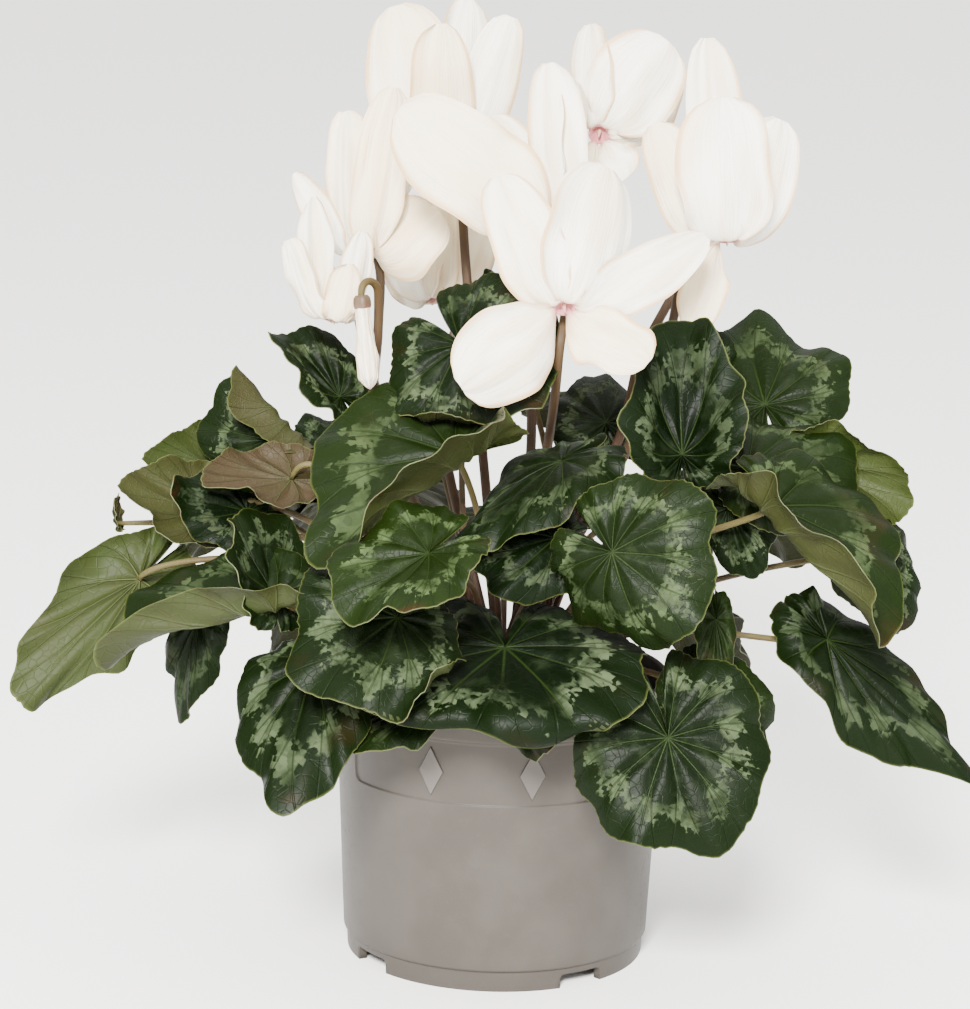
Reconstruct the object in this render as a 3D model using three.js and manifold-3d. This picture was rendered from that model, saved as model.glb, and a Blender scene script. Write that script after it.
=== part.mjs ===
// A potted florist's cyclamen: heart-shaped leaves on petioles, nodding flowers with reflexed petals,
// a corm in peat, and a plain plastic grower's pot with a panelled band and a notched foot ring.
// Millimetres, +Z up, front towards -Y. Points in the tables are from the middle of the ring that the pot
// stands on, and the whole is moved at the end so that the origin is midway across it.
import * as THREE from "three";
import { mergeVertices } from "three/addons/utils/BufferGeometryUtils.js";
import Module from "manifold-3d";

const wasm = await Module();
wasm.setup();

// Driving dimensions
const clearance = 0.35; // between pieces that touch
const merging = { leaf: 0.25, petal: 0.02 }; // finest facets kept where sheets cross

const pot = {
  height: 111,
  rimRadius: 65,
  underRimHeight: 98.5,
  underRimRadius: 63.5,
  bandHeight: 72.8,
  bandRadius: 62.3,
  grooveHeight: 8.6,
  grooveRadius: 59.3,
  footRadius: 57.7,
  footWidth: 3.2,
  wall: 1.4,
  floorUnderside: 6,
  floor: 1.6,
  sides: 32,
};
const panel = { count: 3, width: 109, middle: -96.3, depth: 0.6, margin: 0.9, steps: 8 };
const diamond = { spread: 17.7, halfWidth: 5, halfHeight: 9.5 };
const notch = { count: 4, first: -145, halfWidth: 9.4, height: 5.2, corner: 2 };
const drain = { radius: 47, halfLength: 5, halfWidth: 2.6 };

const soil = { level: 96, edge: 93.5, sides: 16 };
const corm = { radius: 27, middle: 90, bottom: 80, top: 103.5, crown: 19.5, sides: 12 };

const blade = { thickness: 0.84, inner: 0.36, middle: 0.58, outer: 0.72, crenation: 0.022 };
const petiole = { radius: 1.6, sides: 3, steps: 4, rise: 0.48, lean: 0.45, reach: 0.28 };
const stem = { radius: 1.7, sides: 4, steps: 13, bendPace: 60, crook: 0.75 };
const crown = { rings: [17.2, 13.2, 9.3], share: [0.46, 0.34, 0.2], spacing: 4.3, flowerRing: 5.4 };
const petal = { thickness: 0.84, along: 4, widest: 0.64, foot: 0.18, flare: 6, cup: -0.16, apart: 60 };
const throat = { radius: 4.1, back: 3, length: 9, sides: 6 };

const colours = {
  leaf: 0x35522c,
  petal: 0xf7f1e4,
  stem: 0x5f4a24,
  pot: 0x8a817c,
  peat: 0x2c2018,
  corm: 0x5b4330,
};

// Leaves. at is the point where the petiole meets the blade, and tip and side are where the point and the
// left side of the blade lay before it bent. lobe is the reach of the back lobes over the length, and
// dent a notch in the apex. A bend is [direction from the tip in degrees, start, turn in degrees, radius],
// with start and radius over the length, and turns towards the upper face if it is positive. joins names
// the leaf of the same leafy shoot that it is fused to, and lift bows its petiole aside.
const gentle = [
  [0, -0.1, -20, 1.3],
  [90, 0.1, -12, 1.6],
  [-90, 0.1, -12, 1.6],
];
const leaves = [
  // the front, low to high
  { name: "leaf_heart", at: [0.7, -77, 138.3], tip: [-1.5, -128, 113.8], side: [53.8, -80, 138.9],
    lobe: 0.5, wave: 0.03, waves: 5, bends: [[0, 0.62, -110, 0.14]], dent: 0.25 },
  { name: "leaf_rim_left", at: [-24, -70, 119], tip: [-60, -92, 102], side: [-16, -86, 116], lobe: 0.6,
    wave: 0.06, waves: 5, bends: [[90, 0.3, -40, 0.4]], lift: [0, 0, -6] },
  { name: "leaf_rim_small", at: [4, -84, 120], tip: [18, -104, 109], side: [9, -88, 131], lobe: 0.5,
    wave: 0.03, waves: 3, bends: [[90, 0.02, 20, 0.3], [-90, 0.02, 20, 0.3]],
    joins: "leaf_rim_left", lift: [0, 0, -14] },
  { name: "leaf_drape_left", at: [-68.6, -72, 130.0], tip: [-78.9, -106, 86.7], side: [-44.0, -86, 126.1],
    lobe: 0.2,
    wave: 0.04, waves: 4, bends: [[90, 0.3, -60, 0.3], [-90, 0.42, -60, 0.3]], lift: [4, -4, -10] },
  { name: "leaf_low_left", at: [-38, -92, 152], tip: [-69, -110, 132], side: [-16, -110, 133], lobe: 0.42,
    wave: 0.03, waves: 4, bends: [[90, 0.6, 120, 0.1]], lift: [-10, 0, 30] },
  { name: "leaf_bright", at: [-26.9, -111, 180.1], tip: [-57.6, -125, 162.7], side: [-15.2, -131, 169.8],
    lobe: 0.55, wave: 0.05, waves: 5, bends: [[90, 0.02, 14, 0.3], [-90, 0.02, 14, 0.3]], lift: [0, 6, 6] },
  { name: "leaf_saddle", at: [37.6, -94, 178.5], tip: [68.7, -108, 157.2], side: [58.1, -90, 206.1],
    lobe: 0.55, wave: 0.03, waves: 3, bends: [[-90, 0.15, -50, 0.3]], lift: [16, 0, -10] },
  { name: "leaf_dark_middle", at: [18, -62, 176], tip: [-13, -74, 173], side: [26, -77, 161], lobe: 0.45,
    wave: 0.04, waves: 5, bends: gentle },
  { name: "leaf_wavy", at: [20, -48, 202], tip: [-19, -76, 188], side: [35, -69, 201], lobe: 0.5,
    wave: 0.1, waves: 5, bends: gentle },
  { name: "leaf_low_right", at: [59.9, -92, 110.3], tip: [69.1, -108, 70.7], side: [95.1, -88, 118.6],
    lobe: 0.75, wave: 0.04, waves: 5, bends: [[-90, 0.5, -30, 0.4]] },
  { name: "leaf_under_right", at: [77, -64, 117], tip: [98, -72, 96], side: [92, -60, 130], lobe: 0.7,
    wave: 0.04, waves: 5, bends: gentle, lift: [6, -4, -10] },
  { name: "leaf_curl_right", at: [77, -70, 149], tip: [78, -78, 126], side: [84, -68, 148], lobe: 0.5,
    wave: 0.03, waves: 3, bends: [[90, 0.1, 30, 0.3], [-90, 0.1, 30, 0.3]], joins: "leaf_under_right" },
  { name: "leaf_corner", at: [82, -44, 185], tip: [93, -57, 163], side: [96, -45, 189], lobe: 0.6,
    wave: 0.04, waves: 4, bends: gentle, joins: "leaf_dark_right" },

  // the upper middle
  { name: "leaf_cloak", at: [-19, -62, 206], tip: [-67, -88, 176], side: [8, -87, 184], lobe: 0.4,
    wave: 0.03, waves: 4, bends: [[90, 0.02, 84, 0.12]] },
  { name: "leaf_high_left", at: [-18, -40, 243], tip: [6, -60, 221], side: [9, -35, 264], lobe: 0.62,
    wave: 0.03, waves: 4, bends: [[-42, 0.66, 130, 0.12]] },
  { name: "leaf_behind_bloom", at: [38, 12, 206], tip: [31, 26, 227], side: [18, 7, 202], lobe: 0.6,
    wave: 0.04, waves: 5, bends: gentle },
  { name: "leaf_small_back", at: [1, 26, 246], tip: [-6, 28, 264], side: [-10, 23, 242], lobe: 0.6,
    wave: 0.03, waves: 3, bends: gentle, joins: "leaf_behind_bloom" },
  { name: "leaf_folded", at: [63.4, -56, 207.0], tip: [60.8, -34, 252.9], side: [36.4, -58, 207.8],
    lobe: 0.25,
    wave: 0.04, waves: 5, bends: [[90, 0.02, 48, 0.2], [-90, 0.02, 48, 0.2]], lift: [-24, 12, 0] },
  { name: "leaf_dark_right", at: [63, -30, 183], tip: [87, -22, 194], side: [55, -25, 194], lobe: 0.6,
    wave: 0.04, waves: 4, bends: gentle, lift: [12, 0, -10] },

  // the left
  { name: "leaf_top_left", at: [-64, -2, 216], tip: [-87, 8, 242], side: [-75, -8, 208], lobe: 0.3,
    wave: 0.04, waves: 4, bends: [[90, 0.02, 60, 0.15]], lift: [0, 6, 0] },
  { name: "leaf_behind_left", at: [-66, -2, 197], tip: [-79, 4, 209], side: [-74, -11, 188], lobe: 0.6,
    wave: 0.03, waves: 4, bends: gentle, joins: "leaf_top_left" },
  { name: "leaf_peak", at: [-90, -8, 200], tip: [-98, 2, 229], side: [-114, -6, 190], lobe: 0.5,
    wave: 0.03, waves: 4, bends: [[-60, 0.2, 150, 0.12]], lift: [0, -16, 8] },
  { name: "leaf_round", at: [-104, 0, 183], tip: [-138, -6, 182], side: [-108, 16, 201], lobe: 0.7,
    wave: 0.02, waves: 4, bends: gentle, lift: [0, 0, -6] },
  { name: "leaf_pink_point", at: [-111, -29, 176], tip: [-145, -34, 181], side: [-109, -15, 190],
    lobe: 0.45, wave: 0.02, waves: 3, bends: gentle, lift: [0, 18, -10] },
  { name: "leaf_edge_left", at: [-147, -12, 167], tip: [-151, -12, 178], side: [-146, -8, 167], lobe: 0.3,
    wave: 0.02, waves: 3, bends: gentle, joins: "leaf_pink_point" },
  { name: "leaf_dark_left", at: [-96, -37, 178], tip: [-124, -45, 186], side: [-100, -48, 165], lobe: 0.5,
    wave: 0.04, waves: 4, bends: [[0, 0.7, 60, 0.2]] },
  { name: "leaf_blush", at: [-80, -34, 190], tip: [-113, -42, 185], side: [-84, -21, 199], lobe: 0.5,
    wave: 0.03, waves: 4, bends: gentle, joins: "leaf_dark_left" },
  { name: "leaf_boat", at: [-83, -72, 153], tip: [-148, -62, 135], side: [-80, -92, 135], lobe: 0.25,
    wave: 0.03, waves: 4, bends: [[90, 0.04, 125, 0.08]] },
  { name: "leaf_cup_left", at: [-84, -68, 154], tip: [-92, -50, 183], side: [-100, -84, 158], lobe: 0.4,
    wave: 0.03, waves: 4, bends: [[90, 0.25, 45, 0.3], [-90, 0.25, 45, 0.3]], joins: "leaf_boat" },
  { name: "leaf_far_left", at: [-136, -36, 151], tip: [-181, -44, 107], side: [-150, -31, 164], lobe: 0.35,
    wave: 0.03, waves: 4, bends: [[-90, 0.05, 80, 0.15]], lift: [0, -6, 4] },
  { name: "leaf_hang_left", at: [-113, -46, 139], tip: [-128, -52, 102], side: [-102, -54, 136], lobe: 0.3,
    wave: 0.08, waves: 5, bends: gentle, lift: [0, -8, -8] },

  // the right
  { name: "leaf_crest", at: [97, -8, 218], tip: [87, 14, 253], side: [64, -8, 207], lobe: 0.5,
    wave: 0.05, waves: 5, bends: gentle },
  { name: "leaf_behind_right", at: [75, 6, 232], tip: [76, 10, 248], side: [63, 6, 232], lobe: 0.6,
    wave: 0.03, waves: 3, bends: gentle, joins: "leaf_crest" },
  { name: "leaf_shield", at: [89, -44, 200], tip: [128, -38, 217], side: [78, -22, 216], lobe: 0.35,
    wave: 0.04, waves: 5, bends: gentle, joins: "leaf_dark_right" },
  { name: "leaf_lime_right", at: [117, -24, 197], tip: [153, -24, 186], side: [112, -20, 177], lobe: 0.5,
    wave: 0.03, waves: 4, bends: gentle, joins: "leaf_dark_right" },
  { name: "leaf_silver", at: [97, -72, 192], tip: [141, -92, 151], side: [119, -48, 206], lobe: 0.35,
    wave: 0.03, waves: 4, bends: [[-90, 0.06, 92, 0.12]], lift: [4, -14, 4] },
  { name: "leaf_far_right", at: [120.1, -46, 136.6], tip: [172, -56, 88], side: [136.0, -34, 143.2],
    lobe: 0.3,
    wave: 0.05, waves: 6, bends: [[90, 0.3, -40, 0.4], [-90, 0.3, -30, 0.4]], lift: [0, -2, -12] },
  { name: "leaf_behind_silver", at: [134, -46, 171], tip: [156, -54, 147], side: [148, -36, 179], lobe: 0.5,
    wave: 0.03, waves: 4, bends: gentle, joins: "leaf_far_right", lift: [0, 0, -18] },

  // the back
  { name: "leaf_back_right", at: [88, 52, 172], tip: [128, 74, 154], side: [70, 82, 168], lobe: 0.6,
    wave: 0.04, waves: 5, bends: gentle },
  { name: "leaf_back_inner_right", at: [56, 92, 160], tip: [78, 126, 142], side: [24, 112, 158], lobe: 0.6,
    wave: 0.04, waves: 5, bends: gentle },
  { name: "leaf_back_middle", at: [2, 100, 150], tip: [2, 138, 132], side: [-34, 100, 152], lobe: 0.6,
    wave: 0.04, waves: 5, bends: gentle },
  { name: "leaf_back_inner_left", at: [-52, 90, 164], tip: [-76, 122, 148], side: [-84, 66, 166], lobe: 0.6,
    wave: 0.04, waves: 4, bends: gentle },
  { name: "leaf_back_left", at: [-96, 48, 168], tip: [-134, 68, 152], side: [-112, 16, 172], lobe: 0.6,
    wave: 0.04, waves: 5, bends: gentle },
  { name: "leaf_back_high_right", at: [38, 52, 206], tip: [58, 84, 192], side: [8, 70, 204], lobe: 0.6,
    wave: 0.04, waves: 5, bends: gentle },
  { name: "leaf_back_high_left", at: [-34, 56, 208], tip: [-54, 90, 194], side: [-64, 38, 208], lobe: 0.6,
    wave: 0.04, waves: 4, bends: gentle },
  { name: "leaf_back_low_right", at: [74, 72, 122], tip: [96, 94, 98], side: [50, 94, 120], lobe: 0.6,
    wave: 0.04, waves: 5, bends: gentle },
  { name: "leaf_back_low_left", at: [-70, 74, 122], tip: [-92, 96, 98], side: [-94, 52, 122], lobe: 0.6,
    wave: 0.04, waves: 5, bends: gentle },
];

// Flowers. The mouth is the ring the petals turn back from, and axis is the way it looks. root is the
// stem's direction from the middle of the crown in degrees, and path its way up to the crook above the
// calyx. A petal is [tip, side], with side on its margin where it is widest.
const flowers = [
  { name: "front", root: -80, mouth: [19, -60, 260], axis: [0.1, -0.72, -0.68],
    path: [[9, -16, 150], [15, -18, 200], [17, -40, 226], [18, -51, 245], [20, -43, 259]],
    petals: [[[-5, -50, 304], [-11, -53, 286]], [[33, -42, 307], [46, -41, 286]],
      [[68, -40, 284], [53, -56, 264]], [[48, -74, 244], [30, -76, 241]],
      [[-16, -74, 234], [-13, -71, 258]]] },
  { name: "left_centre", root: -35, mouth: [16, -22, 290], axis: [0.2, -0.3, -0.9],
    path: [[9, -8, 211], [4, -12, 245], [12, -8, 278], [19, -7, 301]],
    petals: [[[-40, -34, 326], [-24, -37, 291]], [[12, -14, 342], [5, -18, 317]],
      [[22, -2, 335], [30, 4, 311]], [[-9, 11, 320], [-17, 10, 308]], [[33, 10, 296], [29, 8, 287]]] },
  { name: "top_left", root: 100, mouth: [-25, 28, 308], axis: [-0.1, -0.4, -0.9],
    path: [[-16, 26, 250], [-18, 30, 269], [-20, 34, 292], [-22, 42, 307]],
    petals: [[[-46, 38, 359], [-57, 35, 332]], [[-29, 19, 354], [-41, 17, 333]],
      [[-19, 47, 362], [-8, 46, 342]], [[-3, 37, 356], [4, 37, 340]], [[-49, 54, 326], [-52, 53, 317]]] },
  { name: "low_back", root: 145, mouth: [-29, 42, 248], axis: [0, -0.35, -0.94],
    path: [[-27, 40, 209], [-21, 54, 236], [-17, 58, 250]],
    petals: [[[-45, 44, 283], [-52, 44, 264]], [[-28, 34, 290], [-36, 34, 270]],
      [[-11, 46, 283], [-6, 46, 267]], [[-48, 50, 257], [-51, 50, 253]],
      [[-37, 60, 270], [-43, 58, 262]]] },
  { name: "left", root: 232, mouth: [-56, 0, 271], axis: [-0.1, -0.5, -0.85],
    path: [[-20, 0, 150], [-50, 4, 206], [-50, 5, 241], [-50, 9, 263], [-54, 12, 275]],
    petals: [[[-46, 6, 330], [-39, 3, 307]], [[-82, 8, 298], [-68, 4, 288]],
      [[-29, 4, 286], [-30, -5, 267]], [[-64, 18, 320], [-71, 17, 302]],
      [[-38, 32, 306], [-36, 31, 296]]] },
  { name: "far_left", root: 183, mouth: [-65, -26, 249], axis: [-0.2, -0.3, -0.93],
    path: [[-36, 10, 170], [-50, 10, 215], [-58, 0, 248], [-61, -10, 264]],
    petals: [[[-82, -26, 277], [-83, -24, 262]], [[-74, -15, 291], [-80, -15, 275]],
      [[-56, -22, 280], [-52, -22, 265]], [[-60, -35, 270], [-55, -34, 260]],
      [[-71, -7, 283], [-66, -5, 272]]] },
  { name: "top_right", root: 55, mouth: [32, 18, 316], axis: [-0.1, -0.9, -0.35],
    path: [[43, 6, 201], [50, 8, 232], [69, 16, 277], [58, 30, 310], [48, 36, 321]],
    petals: [[[28, 30, 355], [19, 29, 338]], [[56, 26, 350], [60, 23, 325]],
      [[25, 9, 298], [22, 11, 308]], [[42, 9, 301], [48, 11, 308]], [[61, 38, 341], [68, 37, 329]]] },
  { name: "right", root: 10, mouth: [80, -12, 280], axis: [0.05, -0.25, -0.97],
    path: [[49, -4, 206], [60, -2, 241], [64, -5, 267], [66, -7, 281]],
    petals: [[[76, -16, 331], [96, -10, 304]], [[53, -2, 320], [51, -8, 298]],
      [[72, 14, 350], [85, 11, 335]], [[68, -20, 247], [79, -15, 256]], [[99, 6, 322], [108, 4, 301]]] },
];
const bud = { top: [-55, -38, 260], tip: [-51, -42, 226], radius: 4.6, sides: 8,
  path: [[-19, -19, 150], [-50, -26, 218], [-49, -27, 246], [-49, -30, 259]] };

const radians = THREE.MathUtils.degToRad;
const vec = (p) => new THREE.Vector3(...p);
const unit = (p) => vec(p).normalize();

// A closed mesh as a solid that can be joined and cut.
function solidOf(geometry) {
  const bare = new THREE.BufferGeometry().setAttribute("position", geometry.getAttribute("position"));
  if (geometry.index) bare.setIndex(geometry.index);
  const merged = mergeVertices(bare, 1e-3);
  const positions = merged.attributes.position.array;
  return new wasm.Manifold(
    new wasm.Mesh({
      numProp: 3,
      vertProperties: new Float32Array(positions),
      triVerts: new Uint32Array(merged.index.array),
    }),
  );
}

function geometryOf(solid) {
  const mesh = solid.getMesh();
  return new THREE.BufferGeometry()
    .setAttribute("position", new THREE.BufferAttribute(new Float32Array(mesh.vertProperties), 3))
    .setIndex(new THREE.BufferAttribute(new Uint32Array(mesh.triVerts), 1));
}

function indexed(points, faces) {
  return new THREE.BufferGeometry()
    .setAttribute("position", new THREE.Float32BufferAttribute(points.flatMap((p) => p.toArray()), 3))
    .setIndex(faces.flat());
}

// A lathe about +Z from [radius, height] pairs.
function turned(profile, sides) {
  const outline = profile.map(([radius, height]) => new THREE.Vector2(radius, height));
  return new THREE.LatheGeometry(outline, sides).rotateX(Math.PI / 2);
}

// A round bar of few sides along a curve.
function bar(curve, radius, sides, steps) {
  const corners = [];
  for (let i = 0; i < sides; i++) {
    const angle = (2 * Math.PI * i) / sides;
    corners.push(new THREE.Vector2(radius * Math.cos(angle), radius * Math.sin(angle)));
  }
  return new THREE.ExtrudeGeometry(new THREE.Shape(corners), {
    steps,
    bevelEnabled: false,
    extrudePath: curve,
  });
}

// The biggest of a solid's separate bodies, without the slivers that a join leaves.
function largest(solid) {
  return solid.decompose().reduce((a, b) => (b.volume() > a.volume() ? b : a));
}

// Pushes things in order round a ring until they are at least so far apart in angle.
function spread(ring, least) {
  for (let round = 0; round < 400; round++) {
    ring.forEach((one, i) => {
      const next = ring[(i + 1) % ring.length];
      const gap = next.angle - one.angle + (i + 1 === ring.length ? 2 * Math.PI : 0);
      const push = Math.max(0, least - gap) / 2;
      one.angle -= push;
      next.angle += push;
    });
  }
}

// Both faces and the rim of a thin sheet. faces are the triangles of the upper face, and edge lists its
// border anticlockwise as seen from above.
function sheet(middle, normals, faces, edge, thickness) {
  const count = middle.length;
  const upper = middle.map((p, i) => p.clone().addScaledVector(normals[i], thickness / 2));
  const lower = middle.map((p, i) => p.clone().addScaledVector(normals[i], -thickness / 2));
  const under = faces.map(([a, b, c]) => [a + count, c + count, b + count]);
  const rim = edge.flatMap((a, i) => {
    const b = edge[(i + 1) % edge.length];
    return [
      [a, a + count, b + count],
      [a, b + count, b],
    ];
  });
  return indexed([...upper, ...lower], [...faces, ...under, ...rim]);
}

// The heart-shaped outline, as a reach from the petiole over the length, at an angle from the tip.
function reach(leaf, angle) {
  const round = (0.95 + leaf.lobe + (0.95 - leaf.lobe) * Math.cos(angle)) / 2;
  const point = (0.05 - (leaf.dent ?? 0)) * Math.exp(-((angle / 0.25) ** 2));
  const fromNotch = (Math.PI - Math.abs(angle)) / Math.PI;
  return (round + point) * (1 - 0.9 * Math.exp(-((fromNotch / 0.04) ** 2)));
}

// The frame of a leaf: its tip, its left side and its upper face, with its length and its half width over
// the breadth of the outline.
function leafFrame(leaf) {
  const toTip = vec(leaf.tip).sub(vec(leaf.at));
  const tip = toTip.clone().normalize();
  const toSide = vec(leaf.side).sub(vec(leaf.at));
  toSide.addScaledVector(tip, -toSide.dot(tip));
  const side = toSide.clone().normalize();
  const face = new THREE.Vector3().crossVectors(tip, side);
  let breadth = 0;
  for (let angle = 0; angle < Math.PI; angle += 0.1) {
    breadth = Math.max(breadth, reach(leaf, angle) * Math.sin(angle));
  }
  const length = toTip.length();
  return { tip, side, face, length, wide: toSide.length() / (breadth * length) };
}

// Where a point of the flat blade lies once it is waved and bent.
function bladePoint(leaf, axes, along, across) {
  let p = along;
  let q = across;
  const out = Math.hypot(p, q) / axes.length;
  let h = leaf.wave * axes.length * out ** 2 * Math.sin(leaf.waves * Math.atan2(q, p) + leaf.at[0]);
  for (const [direction, start, turn, radius] of leaf.bends) {
    const c = Math.cos(radians(direction));
    const s = Math.sin(radians(direction));
    const past = p * c + q * s - start * axes.length;
    if (past <= 0) continue;
    const r = radius * axes.length;
    const full = Math.abs(radians(turn));
    const up = Math.sign(turn);
    const angle = Math.min(past / r, full);
    const rest = past - r * angle;
    const moved = (r - up * h) * Math.sin(angle) + rest * Math.cos(angle) - past;
    h = up * (r - (r - up * h) * Math.cos(angle) + rest * Math.sin(angle));
    p += moved * c;
    q += moved * s;
  }
  return vec(leaf.at)
    .addScaledVector(axes.tip, p)
    .addScaledVector(axes.side, q)
    .addScaledVector(axes.face, h);
}

function bladeNormal(leaf, axes, p, q) {
  const step = 0.2;
  const ahead = bladePoint(leaf, axes, p + step, q).sub(bladePoint(leaf, axes, p - step, q));
  const aside = bladePoint(leaf, axes, p, q + step).sub(bladePoint(leaf, axes, p, q - step));
  return ahead.cross(aside).normalize();
}

function bladeSolid(leaf) {
  const axes = leafFrame(leaf);
  const count = axes.length < 24 ? 10 : axes.length < 42 ? 12 : 14;
  const folded = leaf.bends !== gentle;
  const flat = [[0, 0]];
  const rings = folded ? [[blade.inner, 2], [blade.outer, 1], [1, 1]] : [[blade.middle, 2], [1, 1]];
  for (const [share, skip] of rings) {
    for (let i = 0; i < count; i += skip) {
      const even = (2 * i) / count - 1;
      const angle = Math.PI * (0.45 * even + 0.55 * Math.sin((Math.PI * even) / 2));
      const tooth = share === 1 ? 1 + blade.crenation * (i % 2 ? -1 : 1) : 1;
      const far = axes.length * share * reach(leaf, angle) * tooth;
      flat.push([far * Math.cos(angle), far * axes.wide * Math.sin(angle)]);
    }
  }
  const half = count / 2;
  const inner = (i) => 1 + (i % half);
  const outer = (i) => 1 + half + (i % count);
  const margin = (i) => (folded ? 1 + half + count : 1 + half) + (i % count);
  const faces = [];
  for (let i = 0; i < half; i++) {
    faces.push([0, inner(i), inner(i + 1)]);
    faces.push([inner(i), outer(2 * i), outer(2 * i + 1)]);
    faces.push([inner(i), outer(2 * i + 1), inner(i + 1)]);
    faces.push([inner(i + 1), outer(2 * i + 1), outer(2 * i + 2)]);
  }
  for (let i = 0; folded && i < count; i++) {
    faces.push([outer(i), margin(i), margin(i + 1)]);
    faces.push([outer(i), margin(i + 1), outer(i + 1)]);
  }
  const edge = Array.from({ length: count }, (_, i) => margin(i));
  const middle = flat.map(([p, q]) => bladePoint(leaf, axes, p, q));
  const normals = flat.map(([p, q]) => bladeNormal(leaf, axes, p, q));
  return solidOf(sheet(middle, normals, faces, edge, blade.thickness));
}

// Where each petiole leaves the crown: low leaves on the outer ring, high ones inside, each on the side
// that its leaf lies on and pushed along the ring until it is clear of its neighbours.
function crownSlots() {
  const steepness = (leaf) => (leaf.at[2] - corm.top) / Math.hypot(leaf.at[0], leaf.at[1]);
  const ordered = leaves.filter((leaf) => !leaf.joins).sort((a, b) => steepness(a) - steepness(b));
  const slots = new Map();
  let taken = 0;
  crown.rings.forEach((radius, ring) => {
    const last = ring === crown.rings.length - 1;
    const share = last ? ordered.length - taken : Math.round(crown.share[ring] * ordered.length);
    const here = ordered.slice(taken, taken + share);
    taken += share;
    const angles = here.map((leaf) => ({ leaf, angle: Math.atan2(leaf.at[1], leaf.at[0]) }));
    angles.sort((a, b) => a.angle - b.angle);
    spread(angles, crown.spacing / radius);
    for (const { leaf, angle } of angles) {
      const height = corm.top + petiole.radius * 0.5 + clearance;
      slots.set(leaf.name, [radius * Math.cos(angle), radius * Math.sin(angle), height]);
    }
  });
  return slots;
}

function petioleSolid(leaf, root) {
  const axes = leafFrame(leaf);
  const from = vec(root).addScaledVector(axes.face, leaf.joins ? 0.3 : 0);
  const arrival = axes.tip.clone().multiplyScalar(0.25).addScaledVector(axes.face, 0.97);
  const to = bladePoint(leaf, axes, 0, 0);
  const span = from.distanceTo(to);
  const outward = new THREE.Vector3(root[0], root[1], 0).normalize().multiplyScalar(petiole.lean);
  const rise = outward.add(new THREE.Vector3(0, 0, 1)).multiplyScalar(petiole.rise * span);
  const lift = vec(leaf.lift ?? [0, 0, 0]);
  const curve = new THREE.CubicBezierCurve3(
    from,
    from.clone().add(rise).add(lift),
    to.clone().addScaledVector(arrival, -petiole.reach * span),
    to,
  );
  return solidOf(bar(curve, petiole.radius, petiole.sides, petiole.steps));
}

// The ways in which the petals leave the mouth: towards their tips, but at least so many degrees apart.
function petalFeet(flower) {
  const axis = unit(flower.axis);
  const right = new THREE.Vector3().crossVectors(axis, new THREE.Vector3(0, 0, 1)).normalize();
  const up = new THREE.Vector3().crossVectors(right, axis);
  const feet = flower.petals.map(([tip]) => {
    const aim = vec(tip).sub(vec(flower.mouth));
    return { angle: Math.atan2(aim.dot(up), aim.dot(right)), way: new THREE.Vector3() };
  });
  spread([...feet].sort((a, b) => a.angle - b.angle), radians(petal.apart));
  for (const foot of feet) {
    foot.way.addScaledVector(right, Math.cos(foot.angle)).addScaledVector(up, Math.sin(foot.angle));
  }
  return feet.map((foot) => foot.way);
}

// One petal, from the ring of the mouth out over its rim and back to its tip.
function petalSolid(flower, [tipPoint, sidePoint], outward) {
  const axis = unit(flower.axis);
  const mouth = vec(flower.mouth);
  const tip = vec(tipPoint);
  const aim = tip.clone().sub(mouth);
  const start = mouth.clone().addScaledVector(outward, throat.radius - 0.8).addScaledVector(axis, -1.3);
  const curve = new THREE.CubicBezierCurve3(
    start,
    start.clone().addScaledVector(axis, petal.flare).addScaledVector(outward, 3),
    mouth.clone().addScaledVector(aim, 0.4).addScaledVector(axis, petal.flare / 2)
      .addScaledVector(outward, 3),
    tip,
  );
  const foot = new THREE.Vector3().crossVectors(outward, axis);
  const broad = vec(sidePoint).sub(curve.getPoint(petal.widest));
  const ahead = curve.getTangent(petal.widest);
  broad.addScaledVector(ahead, -broad.dot(ahead));
  const half = broad.length();
  broad.normalize();
  if (broad.dot(foot) < 0) broad.negate();
  const middle = [];
  const normals = [];
  for (let i = 0; i <= petal.along; i++) {
    const u = i / petal.along;
    const centre = curve.getPoint(u);
    const along = curve.getTangent(u);
    const across = foot.clone().lerp(broad, Math.min(1, u / petal.widest));
    across.addScaledVector(along, -across.dot(along)).normalize();
    const face = new THREE.Vector3().crossVectors(across, along).normalize();
    const wide = half * petalWidth(u);
    for (const v of [-1, 0, 1]) {
      const cup = petal.cup * wide * (v * v - 0.5);
      middle.push(centre.clone().addScaledVector(across, v * wide).addScaledVector(face, cup));
      normals.push(face.clone().addScaledVector(across, -1.6 * petal.cup * v).normalize());
    }
  }
  const faces = [];
  for (let i = 0; i < petal.along; i++) {
    for (let j = 0; j < 2; j++) {
      const a = 3 * i + j;
      faces.push([a, a + 1, a + 4]);
      faces.push([a, a + 4, a + 3]);
    }
  }
  const last = 3 * petal.along;
  const edge = [0, 1];
  for (let i = 0; i < petal.along; i++) edge.push(3 * i + 2);
  edge.push(last + 2, last + 1);
  for (let i = petal.along; i > 0; i--) edge.push(3 * i);
  return solidOf(sheet(middle, normals, faces, edge, petal.thickness));
}

function petalWidth(u) {
  if (u < petal.widest) {
    return petal.foot + (1 - petal.foot) * Math.sin((Math.PI * u) / petal.widest / 2) ** 1.5;
  }
  return (1 - ((u - petal.widest) / 0.39) ** 3) ** 0.42;
}

function aimed(geometry, direction, position) {
  const turn = new THREE.Quaternion().setFromUnitVectors(new THREE.Vector3(0, 0, 1), unit(direction));
  return geometry.applyQuaternion(turn).translate(...position);
}

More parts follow.
